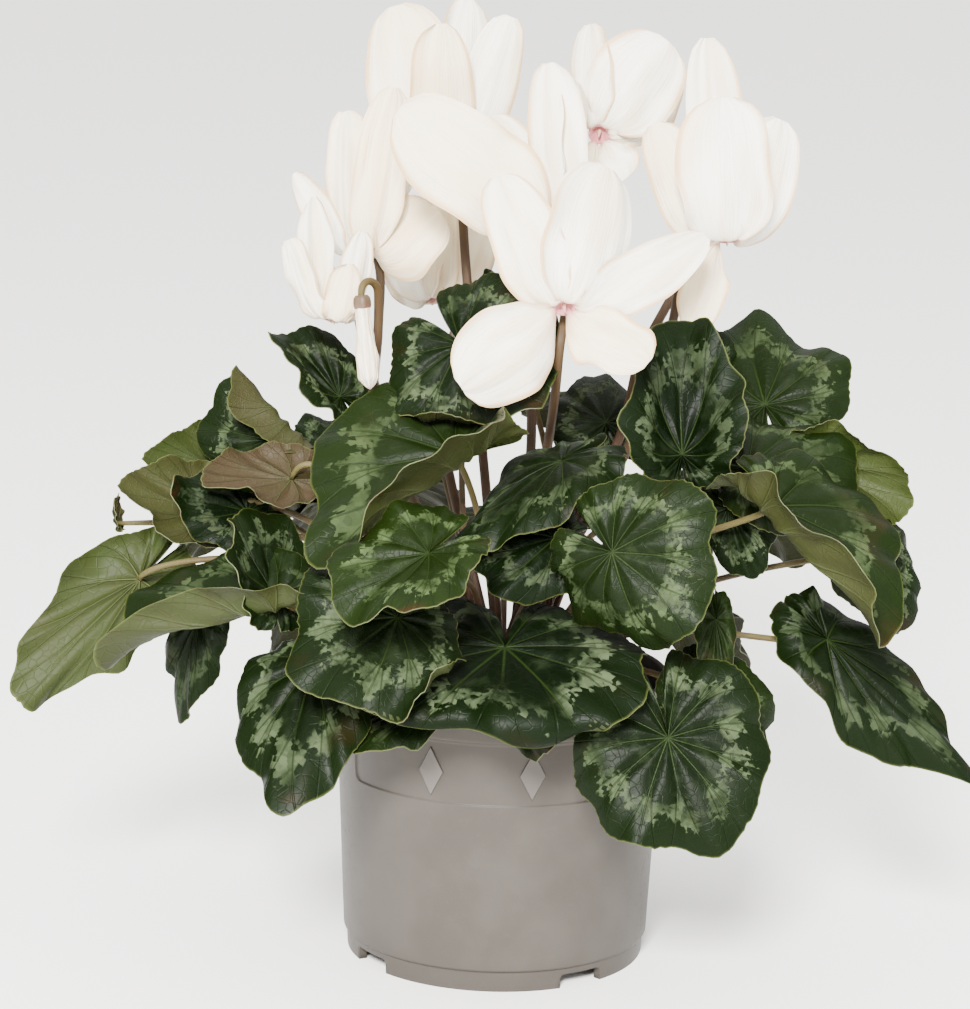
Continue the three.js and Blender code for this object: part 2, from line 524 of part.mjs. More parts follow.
function bloomSolid(flower) {
  const outside = [[0, -throat.length], [throat.back, -throat.length], [throat.radius, 0]];
  const inside = [[throat.radius - 1.4, -2.5], [0, -3]];
  let solid = solidOf(aimed(turned([...outside, ...inside], throat.sides), flower.axis, flower.mouth));
  const feet = petalFeet(flower);
  flower.petals.forEach((one, i) => {
    solid = solid.add(petalSolid(flower, one, feet[i]));
  });
  return largest(solid.simplify(merging.petal));
}

// A curve whose even steps lie closer together where it bends more.
class CloserAtBends extends THREE.Curve {
  constructor(curve) {
    super();
    this.curve = curve;
    this.samples = 300;
    this.run = [0];
    const pace = curve.getLength() / this.samples;
    let way = curve.getTangentAt(0);
    for (let i = 1; i <= this.samples; i++) {
      const next = curve.getTangentAt(i / this.samples);
      this.run.push(this.run[i - 1] + pace + way.angleTo(next) * stem.bendPace);
      way = next;
    }
  }

  share(u) {
    const far = u * this.run[this.samples];
    const after = Math.max(1, this.run.findIndex((one) => one >= far - 1e-9));
    const [low, high] = [this.run[after - 1], this.run[after]];
    return Math.min(1, (after - 1 + (far - low) / (high - low)) / this.samples);
  }

  getPointAt(u, target) {
    return this.curve.getPointAt(this.share(u), target);
  }

  getTangentAt(u, target) {
    return this.curve.getTangentAt(this.share(u), target);
  }
}

// A stem climbs through its path and then bends over, to arrive along the axis of its flower.
function stemSolid(root, path, end, axis) {
  const stop = vec(end).addScaledVector(unit(axis), -clearance);
  const [previous, last] = path.slice(-2).map(vec);
  const reach = stem.crook * last.distanceTo(stop);
  const rising = last.clone().sub(previous).setLength(reach).add(last);
  const arriving = stop.clone().addScaledVector(unit(axis), -reach);
  const over = new THREE.CubicBezierCurve3(last, rising, arriving, stop);
  const lift = vec(root).add(new THREE.Vector3(0, 0, 12));
  const points = [vec(root), lift, ...path.slice(0, -1).map(vec), ...over.getPoints(9)];
  const curve = new THREE.CatmullRomCurve3(points, false, "centripetal");
  return solidOf(bar(new CloserAtBends(curve), stem.radius, stem.sides, stem.steps));
}

function budSolid() {
  const down = vec(bud.tip).sub(vec(bud.top));
  const long = down.length();
  const shape = [[0, 0], [0.5, 0], [0.62, 0.1], [0.72, 0.4], [1, 0.68], [0.9, 0.88], [0.35, 0.98], [0, 1]];
  const profile = shape.map(([wide, far]) => [wide * bud.radius, far * long]);
  return solidOf(aimed(turned(profile, bud.sides), down.toArray(), bud.top));
}

// The pot
function wallRadius(height) {
  const slope = (pot.underRimRadius - pot.bandRadius) / (pot.underRimHeight - pot.bandHeight);
  if (height > pot.bandHeight) return pot.bandRadius + slope * (height - pot.bandHeight);
  const lower = (pot.bandRadius - pot.grooveRadius) / (pot.bandHeight - pot.grooveHeight);
  return pot.grooveRadius + lower * (height - pot.grooveHeight);
}

// A block that follows the wall round, between two heights and from one angle to another.
function wallBlock(low, high, depth, outside, from, to, steps) {
  const section = [
    [wallRadius(low) - depth, low],
    [outside, low],
    [outside, high],
    [wallRadius(high) - depth, high],
  ];
  const points = [];
  for (let i = 0; i <= steps; i++) {
    const angle = radians(from + ((to - from) * i) / steps);
    for (const [radius, height] of section) {
      points.push(new THREE.Vector3(radius * Math.cos(angle), radius * Math.sin(angle), height));
    }
  }
  const faces = [
    [0, 1, 2],
    [0, 2, 3],
  ];
  for (let i = 0; i < steps; i++) {
    for (let j = 0; j < 4; j++) {
      const a = 4 * i + j;
      const b = 4 * i + ((j + 1) % 4);
      faces.push([a, a + 4, b + 4]);
      faces.push([a, b + 4, b]);
    }
  }
  const end = 4 * steps;
  faces.push([end, end + 2, end + 1]);
  faces.push([end, end + 3, end + 2]);
  return solidOf(indexed(points, faces));
}

function boxAt(angle, radius, size, height) {
  const box = new THREE.BoxGeometry(size[0], size[1], size[2]);
  return solidOf(box.translate(radius, 0, height).rotateZ(radians(angle)));
}

function potSolid() {
  const floorTop = pot.floorUnderside + pot.floor;
  const inside = (height) => wallRadius(height) - pot.wall;
  const profile = [
    [0, pot.floorUnderside],
    [pot.footRadius - pot.footWidth, pot.floorUnderside],
    [pot.footRadius - pot.footWidth, 0],
    [pot.footRadius, 0],
    [pot.footRadius + 0.4, pot.grooveHeight - 0.8],
    [pot.grooveRadius, pot.grooveHeight + 0.4],
    [pot.bandRadius, pot.bandHeight],
    [pot.underRimRadius, pot.underRimHeight],
    [pot.rimRadius, pot.underRimHeight + 0.5],
    [pot.rimRadius, pot.height - 0.8],
    [pot.rimRadius - 0.8, pot.height],
    [inside(pot.height) + 0.3, pot.height],
    [inside(pot.underRimHeight), pot.underRimHeight],
    [inside(floorTop), floorTop],
    [0, floorTop],
  ];
  let solid = solidOf(turned(profile, pot.sides));
  for (let i = 0; i < panel.count; i++) {
    const middle = panel.middle + (360 * i) / panel.count;
    const low = pot.bandHeight + panel.margin;
    const high = pot.underRimHeight - panel.margin;
    let recess = wallBlock(low, high, panel.depth, pot.rimRadius + 5, middle - panel.width / 2,
      middle + panel.width / 2, panel.steps);
    for (const side of [-1, 1]) {
      const lozenge = new THREE.Shape([
        new THREE.Vector2(-diamond.halfHeight, 0),
        new THREE.Vector2(0, -diamond.halfWidth),
        new THREE.Vector2(diamond.halfHeight, 0),
        new THREE.Vector2(0, diamond.halfWidth),
      ]);
      const post = new THREE.ExtrudeGeometry(lozenge, { depth: 30, bevelEnabled: false })
        .rotateY(Math.PI / 2)
        .translate(50, 0, (low + high) / 2)
        .rotateZ(radians(middle + side * diamond.spread));
      recess = recess.subtract(solidOf(post));
    }
    solid = solid.subtract(recess);
  }
  for (let i = 0; i < notch.count; i++) {
    const angle = notch.first + (360 * i) / notch.count;
    const arch = new THREE.Shape([
      new THREE.Vector2(-notch.halfWidth, -5),
      new THREE.Vector2(notch.halfWidth, -5),
      new THREE.Vector2(notch.halfWidth, notch.height - notch.corner),
      new THREE.Vector2(notch.halfWidth - notch.corner, notch.height),
      new THREE.Vector2(-notch.halfWidth + notch.corner, notch.height),
      new THREE.Vector2(-notch.halfWidth, notch.height - notch.corner),
    ]);
    const cut = new THREE.ExtrudeGeometry(arch, { depth: 20, bevelEnabled: false })
      .rotateX(Math.PI / 2)
      .rotateZ(Math.PI / 2)
      .translate(45, 0, 0)
      .rotateZ(radians(angle));
    solid = solid.subtract(solidOf(cut));
    const slot = [2 * drain.halfLength, 2 * drain.halfWidth, 10];
    solid = solid.subtract(boxAt(angle, drain.radius, slot, floorTop));
  }
  return solid;
}

function cormProfile(grow) {
  return [
    [0, corm.bottom - grow],
    [corm.radius * 0.7 + grow, corm.bottom - grow],
    [corm.radius + grow, corm.middle - 3],
    [corm.radius + grow, corm.middle + 4],
    [corm.crown + 3 + grow, corm.top - 3],
    [corm.crown + grow, corm.top + grow],
    [0, corm.top + grow],
  ];
}

function cormSolid() {
  return solidOf(turned(cormProfile(0), corm.sides));
}

function soilSolid() {
  const bottom = pot.floorUnderside + pot.floor + clearance;
  const outer = (height) => (wallRadius(height) - pot.wall - clearance) * Math.cos(Math.PI / pot.sides);
  const profile = [
    [0, bottom],
    [outer(bottom), bottom],
    [outer(soil.edge), soil.edge],
    [outer(soil.edge) - 6, soil.edge + 1.4],
    [corm.radius + 10, soil.level + 1],
    [corm.radius, soil.level],
    [0, soil.level],
  ];
  return solidOf(turned(profile, soil.sides)).subtract(solidOf(turned(cormProfile(clearance), corm.sides)));
}

// The assembly
const plant = new THREE.Group();
plant.name = "potted_cyclamen";

function place(name, solid, color, roughness) {
  const material = new THREE.MeshStandardMaterial({ color, roughness, metalness: 0 });
  const mesh = new THREE.Mesh(geometryOf(solid), material);
  mesh.name = name;
  plant.add(mesh);
}

place("pot", potSolid(), colours.pot, 0.45);
place("soil", soilSolid(), colours.peat, 1);
place("corm", cormSolid(), colours.corm, 0.9);

const slots = crownSlots();
const foliage = new Map();
for (const leaf of leaves) {
  const grown = bladeSolid(leaf).add(petioleSolid(leaf, slots.get(leaf.joins ?? leaf.name)));
  const home = leaf.joins ?? leaf.name;
  foliage.set(home, foliage.has(home) ? foliage.get(home).add(grown) : grown);
}
for (const [name, solid] of foliage) place(name, largest(solid.simplify(merging.leaf)), colours.leaf, 0.5);

for (const flower of flowers) {
  const angle = radians(flower.root);
  const root = [crown.flowerRing * Math.cos(angle), crown.flowerRing * Math.sin(angle), corm.top + clearance];
  const end = vec(flower.mouth).addScaledVector(unit(flower.axis), -throat.length).toArray();
  place("bloom_" + flower.name, bloomSolid(flower), colours.petal, 0.6);
  place("stem_" + flower.name, stemSolid(root, flower.path, end, flower.axis), colours.stem, 0.5);
}
const down = vec(bud.tip).sub(vec(bud.top)).toArray();
place("bud", budSolid(), colours.petal, 0.6);
place("stem_bud", stemSolid([0, 0, corm.top + clearance], bud.path, bud.top, down), colours.stem, 0.5);

// The origin lies on the ground, midway across the plant both ways.
const middle = new THREE.Box3().setFromObject(plant).getCenter(new THREE.Vector3());
for (const mesh of plant.children) mesh.position.set(-middle.x, -middle.y, 0);

export default plant;
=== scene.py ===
# A potted cyclamen: fine leaves, flowers, pot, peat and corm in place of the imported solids.
import math

import bmesh
import bpy
import numpy as np
from mathutils import Matrix, Vector


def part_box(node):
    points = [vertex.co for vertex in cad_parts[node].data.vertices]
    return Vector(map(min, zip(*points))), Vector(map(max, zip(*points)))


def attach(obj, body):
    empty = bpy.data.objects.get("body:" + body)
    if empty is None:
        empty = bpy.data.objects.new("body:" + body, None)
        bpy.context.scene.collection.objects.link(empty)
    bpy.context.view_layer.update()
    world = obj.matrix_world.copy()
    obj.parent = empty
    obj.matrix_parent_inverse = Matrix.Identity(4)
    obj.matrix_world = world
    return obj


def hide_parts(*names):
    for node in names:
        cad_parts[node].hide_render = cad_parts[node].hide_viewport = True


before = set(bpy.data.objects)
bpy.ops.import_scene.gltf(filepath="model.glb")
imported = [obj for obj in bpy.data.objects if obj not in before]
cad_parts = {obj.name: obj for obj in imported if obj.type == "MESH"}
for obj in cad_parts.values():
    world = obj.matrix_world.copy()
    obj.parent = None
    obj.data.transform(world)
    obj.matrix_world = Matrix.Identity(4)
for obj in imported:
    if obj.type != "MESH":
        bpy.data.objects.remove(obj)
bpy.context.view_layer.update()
print("frame loaded:", len(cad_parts), "nodes")

# The tables below are in millimetres from the middle of the pot's foot ring.
potLow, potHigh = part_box("pot")
potCentre = np.array([(potLow.x + potHigh.x) / 2, (potLow.y + potHigh.y) / 2, 0.0]) * 1000
fullTurn = 2 * math.pi
tiny = 1e-9  # keeps a division by no length safe


# Vectors and curves
def vec(point):
    return np.array(point, dtype=float)


def unit(vector):
    vector = vec(vector)
    return vector / max(tiny, float(np.linalg.norm(vector)))


def unitRows(rows):
    return rows / np.maximum(tiny, np.linalg.norm(rows, axis=-1))[..., None]


def mix(first, second, share):
    return first + (second - first) * share


def smooth(low, high, value):
    share = np.clip((value - low) / (high - low), 0.0, 1.0)
    return share * share * (3 - 2 * share)


# How far a value is from the nearest multiple of step.
def fromMultiple(value, step):
    return np.abs((value + step / 2) % step - step / 2)


def ringAngles(count):
    return np.linspace(0, fullTurn, count, endpoint=False)


# Directions at these angles, between two others.
def turned(angles, first, second):
    return np.cos(angles)[..., None] * first + np.sin(angles)[..., None] * second


# How far along a line each of its points lies.
def runAlong(points):
    return np.concatenate([[0], np.cumsum(np.linalg.norm(np.diff(points, axis=0), axis=1))])


def bezier(points, t):
    a, b, c, d = [vec(point) for point in points]
    t = np.asarray(t, dtype=float)[..., None]
    return (1 - t) ** 3 * a + 3 * (1 - t) ** 2 * t * b + 3 * (1 - t) * t**2 * c + t**3 * d


# A curve through all its points, without loops where they lie close together.
def throughPoints(points, count):
    points = [vec(point) for point in points]
    found = []
    for t in np.linspace(0, 1, count):
        place = t * (len(points) - 1)
        i = min(int(place), len(points) - 2)
        w = place - i
        p1, p2 = points[i], points[i + 1]
        p0 = points[i - 1] if i > 0 else 2 * p1 - p2
        p3 = points[i + 2] if i + 2 < len(points) else 2 * p2 - p1
        pairs = ((p0, p1), (p1, p2), (p2, p3))
        before, here, after = [max(1e-4, float(np.linalg.norm(b - a)) ** 0.5) for a, b in pairs]
        start = ((p1 - p0) / before - (p2 - p0) / (before + here) + (p2 - p1) / here) * here
        end = ((p2 - p1) / here - (p3 - p1) / (here + after) + (p3 - p2) / after) * here
        bow = -3 * p1 + 3 * p2 - 2 * start - end
        found.append(p1 + start * w + bow * w**2 + (2 * p1 - 2 * p2 + start + end) * w**3)
    return np.array(found)


# Repeatable unevenness, from a few sine waves of unlike lengths.
def ripple(points, size, seed):
    x, y, z = (np.asarray(points) / size).T
    found = np.sin(2.1 * x + 1.3 * y + seed) * np.sin(1.7 * y - 0.9 * z + 2 * seed)
    found += 0.6 * np.sin(3.9 * z + 2.7 * x + 3 * seed) * np.sin(4.3 * y - 1.9 * x + seed)
    return found + 0.35 * np.sin(8.3 * x - 6.1 * z + seed) * np.sin(7.7 * y + 5.3 * z)


# A sum of sine waves round a leaf, each with its height, its number and its shift.
def waveSum(angle, own, terms):
    return sum(high * np.sin(number * angle + own * shift) for high, number, shift in terms)


# Gathers the points and faces of one piece, with what its materials need to know at each point:
# polar, flat and look, three numbers each.
class Pile:
    def __init__(self):
        self.points = []
        self.faces = []
        self.looks = []
        self.notes = {"polar": [], "flat": [], "look": []}
        self.count = 0

    def add(self, points, faces, look=0, polar=None, flat=None, tone=(0.0, 0.0, 0.0)):
        self.points.append(vec(points))
        self.faces += [tuple(int(i) + self.count for i in face) for face in faces]
        self.looks += [look] * len(faces)
        blank = np.zeros((len(points), 3))
        self.notes["polar"].append(blank if polar is None else vec(polar))
        self.notes["flat"].append(blank if flat is None else vec(flat))
        self.notes["look"].append(blank + np.array(tone))
        self.count += len(points)

    def build(self, name, materials, slot, node):
        mesh = bpy.data.meshes.new(name)
        points = (np.concatenate(self.points) + potCentre) / 1000
        mesh.from_pydata(points.tolist(), [], self.faces)
        for key, rows in self.notes.items():
            layer = mesh.attributes.new(key, "FLOAT_VECTOR", "POINT")
            layer.data.foreach_set("vector", np.concatenate(rows).astype(np.float32).ravel())
        for material in materials:
            mesh.materials.append(material)
        mesh.polygons.foreach_set("material_index", self.looks)
        mesh.polygons.foreach_set("use_smooth", [True] * len(self.faces))
        mesh.update()
        piece = bpy.data.objects.new(name, mesh)
        bpy.context.scene.collection.objects.link(piece)
        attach(piece, "root")
        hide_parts(node)


# The faces of a grid of rows by columns, closed round along the columns if asked.
def gridFaces(rows, columns, closed=False, flip=False):
    faces = []
    for i in range(rows - 1):
        for j in range(columns if closed else columns - 1):
            a = i * columns + j
            b = i * columns + (j + 1) % columns
            face = (a, b, b + columns, a + columns)
            faces.append(face[::-1] if flip else face)
    return faces


# Three numbers for each point of a grid.
def gridNotes(first, second, third):
    return np.stack(np.broadcast_arrays(first, second, third), axis=-1).reshape(-1, 3)


# The places on the border of a grid, in order round it.
def gridBorder(rows, columns):
    places = [(i, 0) for i in range(rows)] + [(rows - 1, j) for j in range(1, columns)]
    places += [(i, columns - 1) for i in range(rows - 2, -1, -1)]
    places += [(0, j) for j in range(columns - 2, 0, -1)]
    return [i * columns + j for i, j in places]


# A round tube along points, with its radii, and closed ends. Its notes are the angle round, the
# share of the way along and a number of its own.
def tube(line, radii, sides, own=0.0):
    line = np.asarray(line)
    ahead = unitRows(np.gradient(line, axis=0))
    across = unit(np.cross(ahead[0], [0.31, 0.87, 0.2]))
    angles = ringAngles(sides)
    rings = []
    for centre, way, radius in zip(line, ahead, radii):
        across = unit(across - way * float(across @ way))
        rings.append(centre + radius * turned(angles, across, np.cross(way, across)))
    points = np.concatenate(rings)
    faces = gridFaces(len(line), sides, closed=True)
    faces.append(tuple(range(sides))[::-1])
    faces.append(tuple(range(len(points) - sides, len(points))))
    return points, faces, gridNotes(angles, np.linspace(0, 1, len(line))[:, None], own)


# A turned shape along any axis, from (radius, distance) pairs.
def turnedShape(profile, start, axis, sides, shape=None, own=0.0):
    across = unit(np.cross(axis, [0.3, 0.2, 0.93]))
    angles = ringAngles(sides)
    directions = turned(angles, across, np.cross(axis, across))
    rings = []
    for radius, far in profile:
        radii = radius * (np.ones(sides) if shape is None else shape(angles, far))
        rings.append(start + axis * far + radii[:, None] * directions)
    notes = gridNotes(angles, np.linspace(0, 1, len(profile))[:, None], own)
    return np.concatenate(rings), gridFaces(len(profile), sides, closed=True), notes


# Makes the nodes of a material or a world.
class Graph:
    def __init__(self, name, world=None):
        self.material = world or bpy.data.materials.new(name)
        self.material.use_nodes = True
        self.tree = self.material.node_tree
        self.tree.nodes.clear()

    def feed(self, socket, value):
        if isinstance(value, Value):
            self.tree.links.new(value.socket, socket)
        elif isinstance(value, tuple) and socket.type == "RGBA":
            socket.default_value = (*value, 1.0)
        else:
            socket.default_value = value

    def node(self, kind, settings, inputs, output=0):
        made = self.tree.nodes.new(kind)
        for key, value in settings.items():
            setattr(made, key, value)
        for key, value in inputs.items():
            self.feed(made.inputs[key], value)
        return Value(self, made.outputs[output]) if len(made.outputs) else None

    def note(self, name):
        return self.node("ShaderNodeAttribute", {"attribute_name": name}, {}, "Vector")

    def noise(self, vector, scale, detail=3.0, roughness=0.55):
        inputs = {"Vector": vector, "Scale": scale, "Detail": detail, "Roughness": roughness}
        return self.node("ShaderNodeTexNoise", {}, inputs)

    def cells(self, vector, scale, feature="DISTANCE_TO_EDGE", output=0):
        inputs = {"Vector": vector, "Scale": scale}
        return self.node("ShaderNodeTexVoronoi", {"feature": feature}, inputs, output)

    def vector(self, x, y, z):
        return self.node("ShaderNodeCombineXYZ", {}, {"X": x, "Y": y, "Z": z})

    def bump(self, height, distance, strength):
        inputs = {"Height": height, "Distance": distance, "Strength": strength}
        return self.node("ShaderNodeBump", {}, inputs)

    def surface(self, color, roughness, others):
        inputs = {"Base Color": color, "Roughness": roughness, **others}
        shader = self.node("ShaderNodeBsdfPrincipled", {}, inputs)
        self.node("ShaderNodeOutputMaterial", {}, {"Surface": shader})
        return self.material


# A value on a socket, for plain expressions.
class Value:
    def __init__(self, graph, socket):
        self.graph = graph
        self.socket = socket

    def sums(self, operation, *values):
        return self.graph.node("ShaderNodeMath", {"operation": operation}, dict(enumerate(values)))

    def __add__(self, other):
        return self.sums("ADD", self, other)

    def __radd__(self, other):
        return self.sums("ADD", other, self)

    def __sub__(self, other):
        return self.sums("SUBTRACT", self, other)

    def __rsub__(self, other):
        return self.sums("SUBTRACT", other, self)

    def __mul__(self, other):
        return self.sums("MULTIPLY", self, other)

    def __rmul__(self, other):
        return self.sums("MULTIPLY", other, self)

    def __neg__(self):
        return self.sums("MULTIPLY", self, -1.0)

    def __abs__(self):
        return self.sums("ABSOLUTE", self)

    def sine(self):
        return self.sums("SINE", self)

    def least(self, other):
        return self.sums("MINIMUM", self, other)

    def most(self, other):
        return self.sums("MAXIMUM", self, other)

    # 0 below low and 1 above high, or the other way round if low is the greater.
    def rise(self, low, high):
        inputs = {"Value": self, "From Min": low, "From Max": high}
        return self.graph.node("ShaderNodeMapRange", {"interpolation_type": "SMOOTHSTEP"}, inputs)

    # How far the value is from the nearest multiple of step.
    def fromMultiple(self, step):
        return abs(self.sums("PINGPONG", self + step / 2, step / 2) - step / 2)

    # A colour between two others, with this as the share of the second.
    def blend(self, first, second):
        inputs = {"Factor": self, 6: first, 7: second}
        return self.graph.node("ShaderNodeMix", {"data_type": "RGBA"}, inputs, 2)

    def parts(self):
        split = self.graph.node("ShaderNodeSeparateXYZ", {}, {0: self}).socket.node
        return [Value(self.graph, output) for output in split.outputs]


# The surface of the leaves. Polar holds the angle from the tip, the share of the way out and the
# leaf's length, flat the place on the leaf and a number of the leaf's own, and look how silver, how
# pink and how young the leaf is.
leafLook = {
    "heart": (0.0008, 0.0026, 0.0003),
    "outer": (0.0015, 0.0044, 0.0005),
    "veins": (0.009, 0.017, 0.0034),
    "silver": (0.048, 0.065, 0.033),
    "lime": (0.028, 0.0512, 0.0064),
    "edge": (0.042, 0.0525, 0.0091),
    "blush": (0.056, 0.0104, 0.008),
    "under": (0.012, 0.0185, 0.0028),
    "underPink": (0.03, 0.014, 0.009),
    "underVeins": (0.039, 0.048, 0.0156),
    "veinGap": 0.56,
    "veinBend": 0.16,
    "netScale": 15.0,
    "patchScale": 24.0,
    "depth": 0.0006,
    "underDepth": 0.0007,
    "gloss": 0.055,
    "underGloss": 0.15,
}


# How near a point is to the veins: the ones from the petiole, their forks, and the fine net.
def leafVeins(graph):
    angle, out, _ = graph.note("polar").parts()
    bent = angle + (angle.sine() * out) * out * leafLook["veinBend"]
    aside = bent.fromMultiple(leafLook["veinGap"])
    main = (aside * out).rise(0.018 - out * 0.009, 0.003)
    forks = abs(aside - (out - 0.36).most(0.0) * 0.3) * out
    forks = forks.rise(0.011, 0.003) * out.rise(0.4, 0.5)
    net = graph.cells(graph.note("flat"), leafLook["netScale"]).rise(0.07, 0.0)
    return out, main, forks, net, angle, aside


def leafTopMaterial():
    graph = Graph("leafTop")
    out, main, forks, net, angle, aside = leafVeins(graph)
    silvery, pink, young = graph.note("look").parts()
    flat = graph.note("flat")
    own = flat.parts()[2]
    mottle = graph.noise(flat, 5.0)
    streaks = graph.noise(graph.vector(angle * 13.0, out * 2.2, own), 1.6, 4.0, 0.7)
    blots = graph.noise(graph.vector(angle * 3.0, out * 2.0, own), 1.4, 1.0)
    patches = graph.cells(flat, leafLook["patchScale"], "F1", "Color").parts()[0]
    clouds = graph.noise(flat, 2.3, 2.0)
    # A broken ring of silver lies between the dark heart of the blade and its dark margin
    inner = 0.36 + blots * 0.2 + aside * 0.3 + patches * 0.12
    outer = 0.40 + blots * 0.42 + streaks * 0.22 - aside * 0.42 + patches * 0.14
    ring = out.rise(inner - 0.02, inner + 0.04) * out.rise(outer + 0.02, outer - 0.02)
    ring = ring * (mottle.rise(0.3, 0.55) * 0.5 + patches * 0.5)
    ring = ring * (1.0 - forks * 0.5) * clouds.rise(0.28, 0.55)
    ring = (ring + out.rise(0.72, 0.3) * mottle.rise(0.5, 0.7) * 0.12).least(1.0)
    base = out.rise(0.35, 0.95).blend(leafLook["heart"], leafLook["outer"])
    base = (young * 0.22).blend(base, leafLook["lime"])
    base = (mottle.rise(0.4, 0.75) * 0.5).blend(base, leafLook["outer"])
    pale = (young * 0.8).blend(leafLook["silver"], leafLook["lime"])
    color = (ring * silvery).blend(base, pale)
    veins = main * 0.75 + forks * 0.2 + net * 0.06
    color = (veins * out.rise(1.02, 0.55)).blend(color, leafLook["veins"])
    color = (out.rise(0.985, 1.0) * 0.55).blend(color, leafLook["edge"])
    spots = graph.noise(flat, 2.2).rise(0.55, 0.8) * pink
    color = (spots * out.rise(0.5, 1.0)).blend(color, leafLook["blush"])
    shine = 0.34 + mottle * 0.16 + ring * 0.14
    height = 1.0 - main * 0.9 - forks * 0.45 - net * 0.12 + mottle * 0.2
    height = height + graph.noise(flat, 60.0, 2.0) * 0.1
    normal = graph.bump(height, leafLook["depth"], 0.7)
    return graph.surface(color, shine, {"Normal": normal, "Specular IOR Level": leafLook["gloss"]})


def leafUnderMaterial():
    graph = Graph("leafUnder")
    out, main, forks, net, _, _ = leafVeins(graph)
    _, pink, young = graph.note("look").parts()
    mottle = graph.noise(graph.note("flat"), 4.0)
    share = (pink + mottle * 0.5 - 0.2).most(0.0).least(1.0)
    color = share.blend(leafLook["under"], leafLook["underPink"])
    color = (young * 0.4).blend(color, leafLook["lime"])
    veins = main * 0.7 + forks * 0.4 + net * 0.1
    color = (veins * out.rise(1.1, 0.3)).blend(color, leafLook["underVeins"])
    color = (out.rise(0.982, 1.0) * 0.8).blend(color, leafLook["edge"])
    height = main + forks * 0.5 + net * 0.15 + mottle * 0.1
    normal = graph.bump(height, leafLook["underDepth"], 0.8)
    finish = {"Normal": normal, "Specular IOR Level": leafLook["underGloss"]}
    return graph.surface(color, 0.5 + mottle * 0.12, finish)


def leafEdgeMaterial():
    graph = Graph("leafEdge")
    pink = graph.note("look").parts()[1]
    bits = graph.noise(graph.note("flat"), 9.0)
    share = bits.rise(0.45, 0.7) * (0.35 + pink * 0.5)
    color = share.blend(leafLook["edge"], leafLook["blush"])
    return graph.surface(color, 0.5 + bits * 0.1, {})


stalkLook = {
    "petioleLow": (0.045, 0.014, 0.01),
    "petioleHigh": (0.075, 0.065, 0.02),
    "stemLow": (0.04, 0.018, 0.009),
    "stemHigh": (0.06, 0.042, 0.01),
    "lines": (0.11, 0.085, 0.04),
    "depth": 0.0004,
    "gloss": 0.25,
}


def stalkMaterial(name):
    graph = Graph(name)
    turn, along, own = graph.note("polar").parts()
    bits = graph.noise(graph.vector(turn * 1.5, along * 14.0, own), 1.3)
    share = (along * 1.1 + bits * 0.7 - 0.4).most(0.0).least(1.0)
    color = share.blend(stalkLook[name + "Low"], stalkLook[name + "High"])
    lines = graph.noise(graph.vector(turn * 6.0, along * 3.0, own), 2.0, 2.0)
    color = (lines.rise(0.5, 0.8) * 0.35).blend(color, stalkLook["lines"])
    normal = graph.bump(lines + bits * 0.5, stalkLook["depth"], 0.5)
    finish = {"Normal": normal, "Specular IOR Level": stalkLook["gloss"]}
    return graph.surface(color, 0.42 + bits * 0.15, finish)


# Leaves. Each row has the point where the petiole meets the blade, the tip and the left side before
# the blade bent, the reach of the back lobes, the depth and number of the waves, and the bends:
# direction from the tip in degrees, start, turn in degrees, and radius. A leaf that joins another
# is fused to its shoot, and lift bows the petiole aside.
gentle = [(0, -0.1, -20, 1.3), (90, 0.1, -12, 1.6), (-90, 0.1, -12, 1.6)]


def bothSides(*bend):
    return [(90, *bend), (-90, *bend)]


def leafRow(at, tip, side, lobe, wave, waves, bends=gentle, dent=0.0, joins=None, lift=(0, 0, 0)):
    return {"at": vec(at), "tip": vec(tip), "side": vec(side), "lobe": lobe, "wave": wave,
            "waves": waves, "bends": bends, "dent": dent, "joins": joins, "lift": vec(lift)}


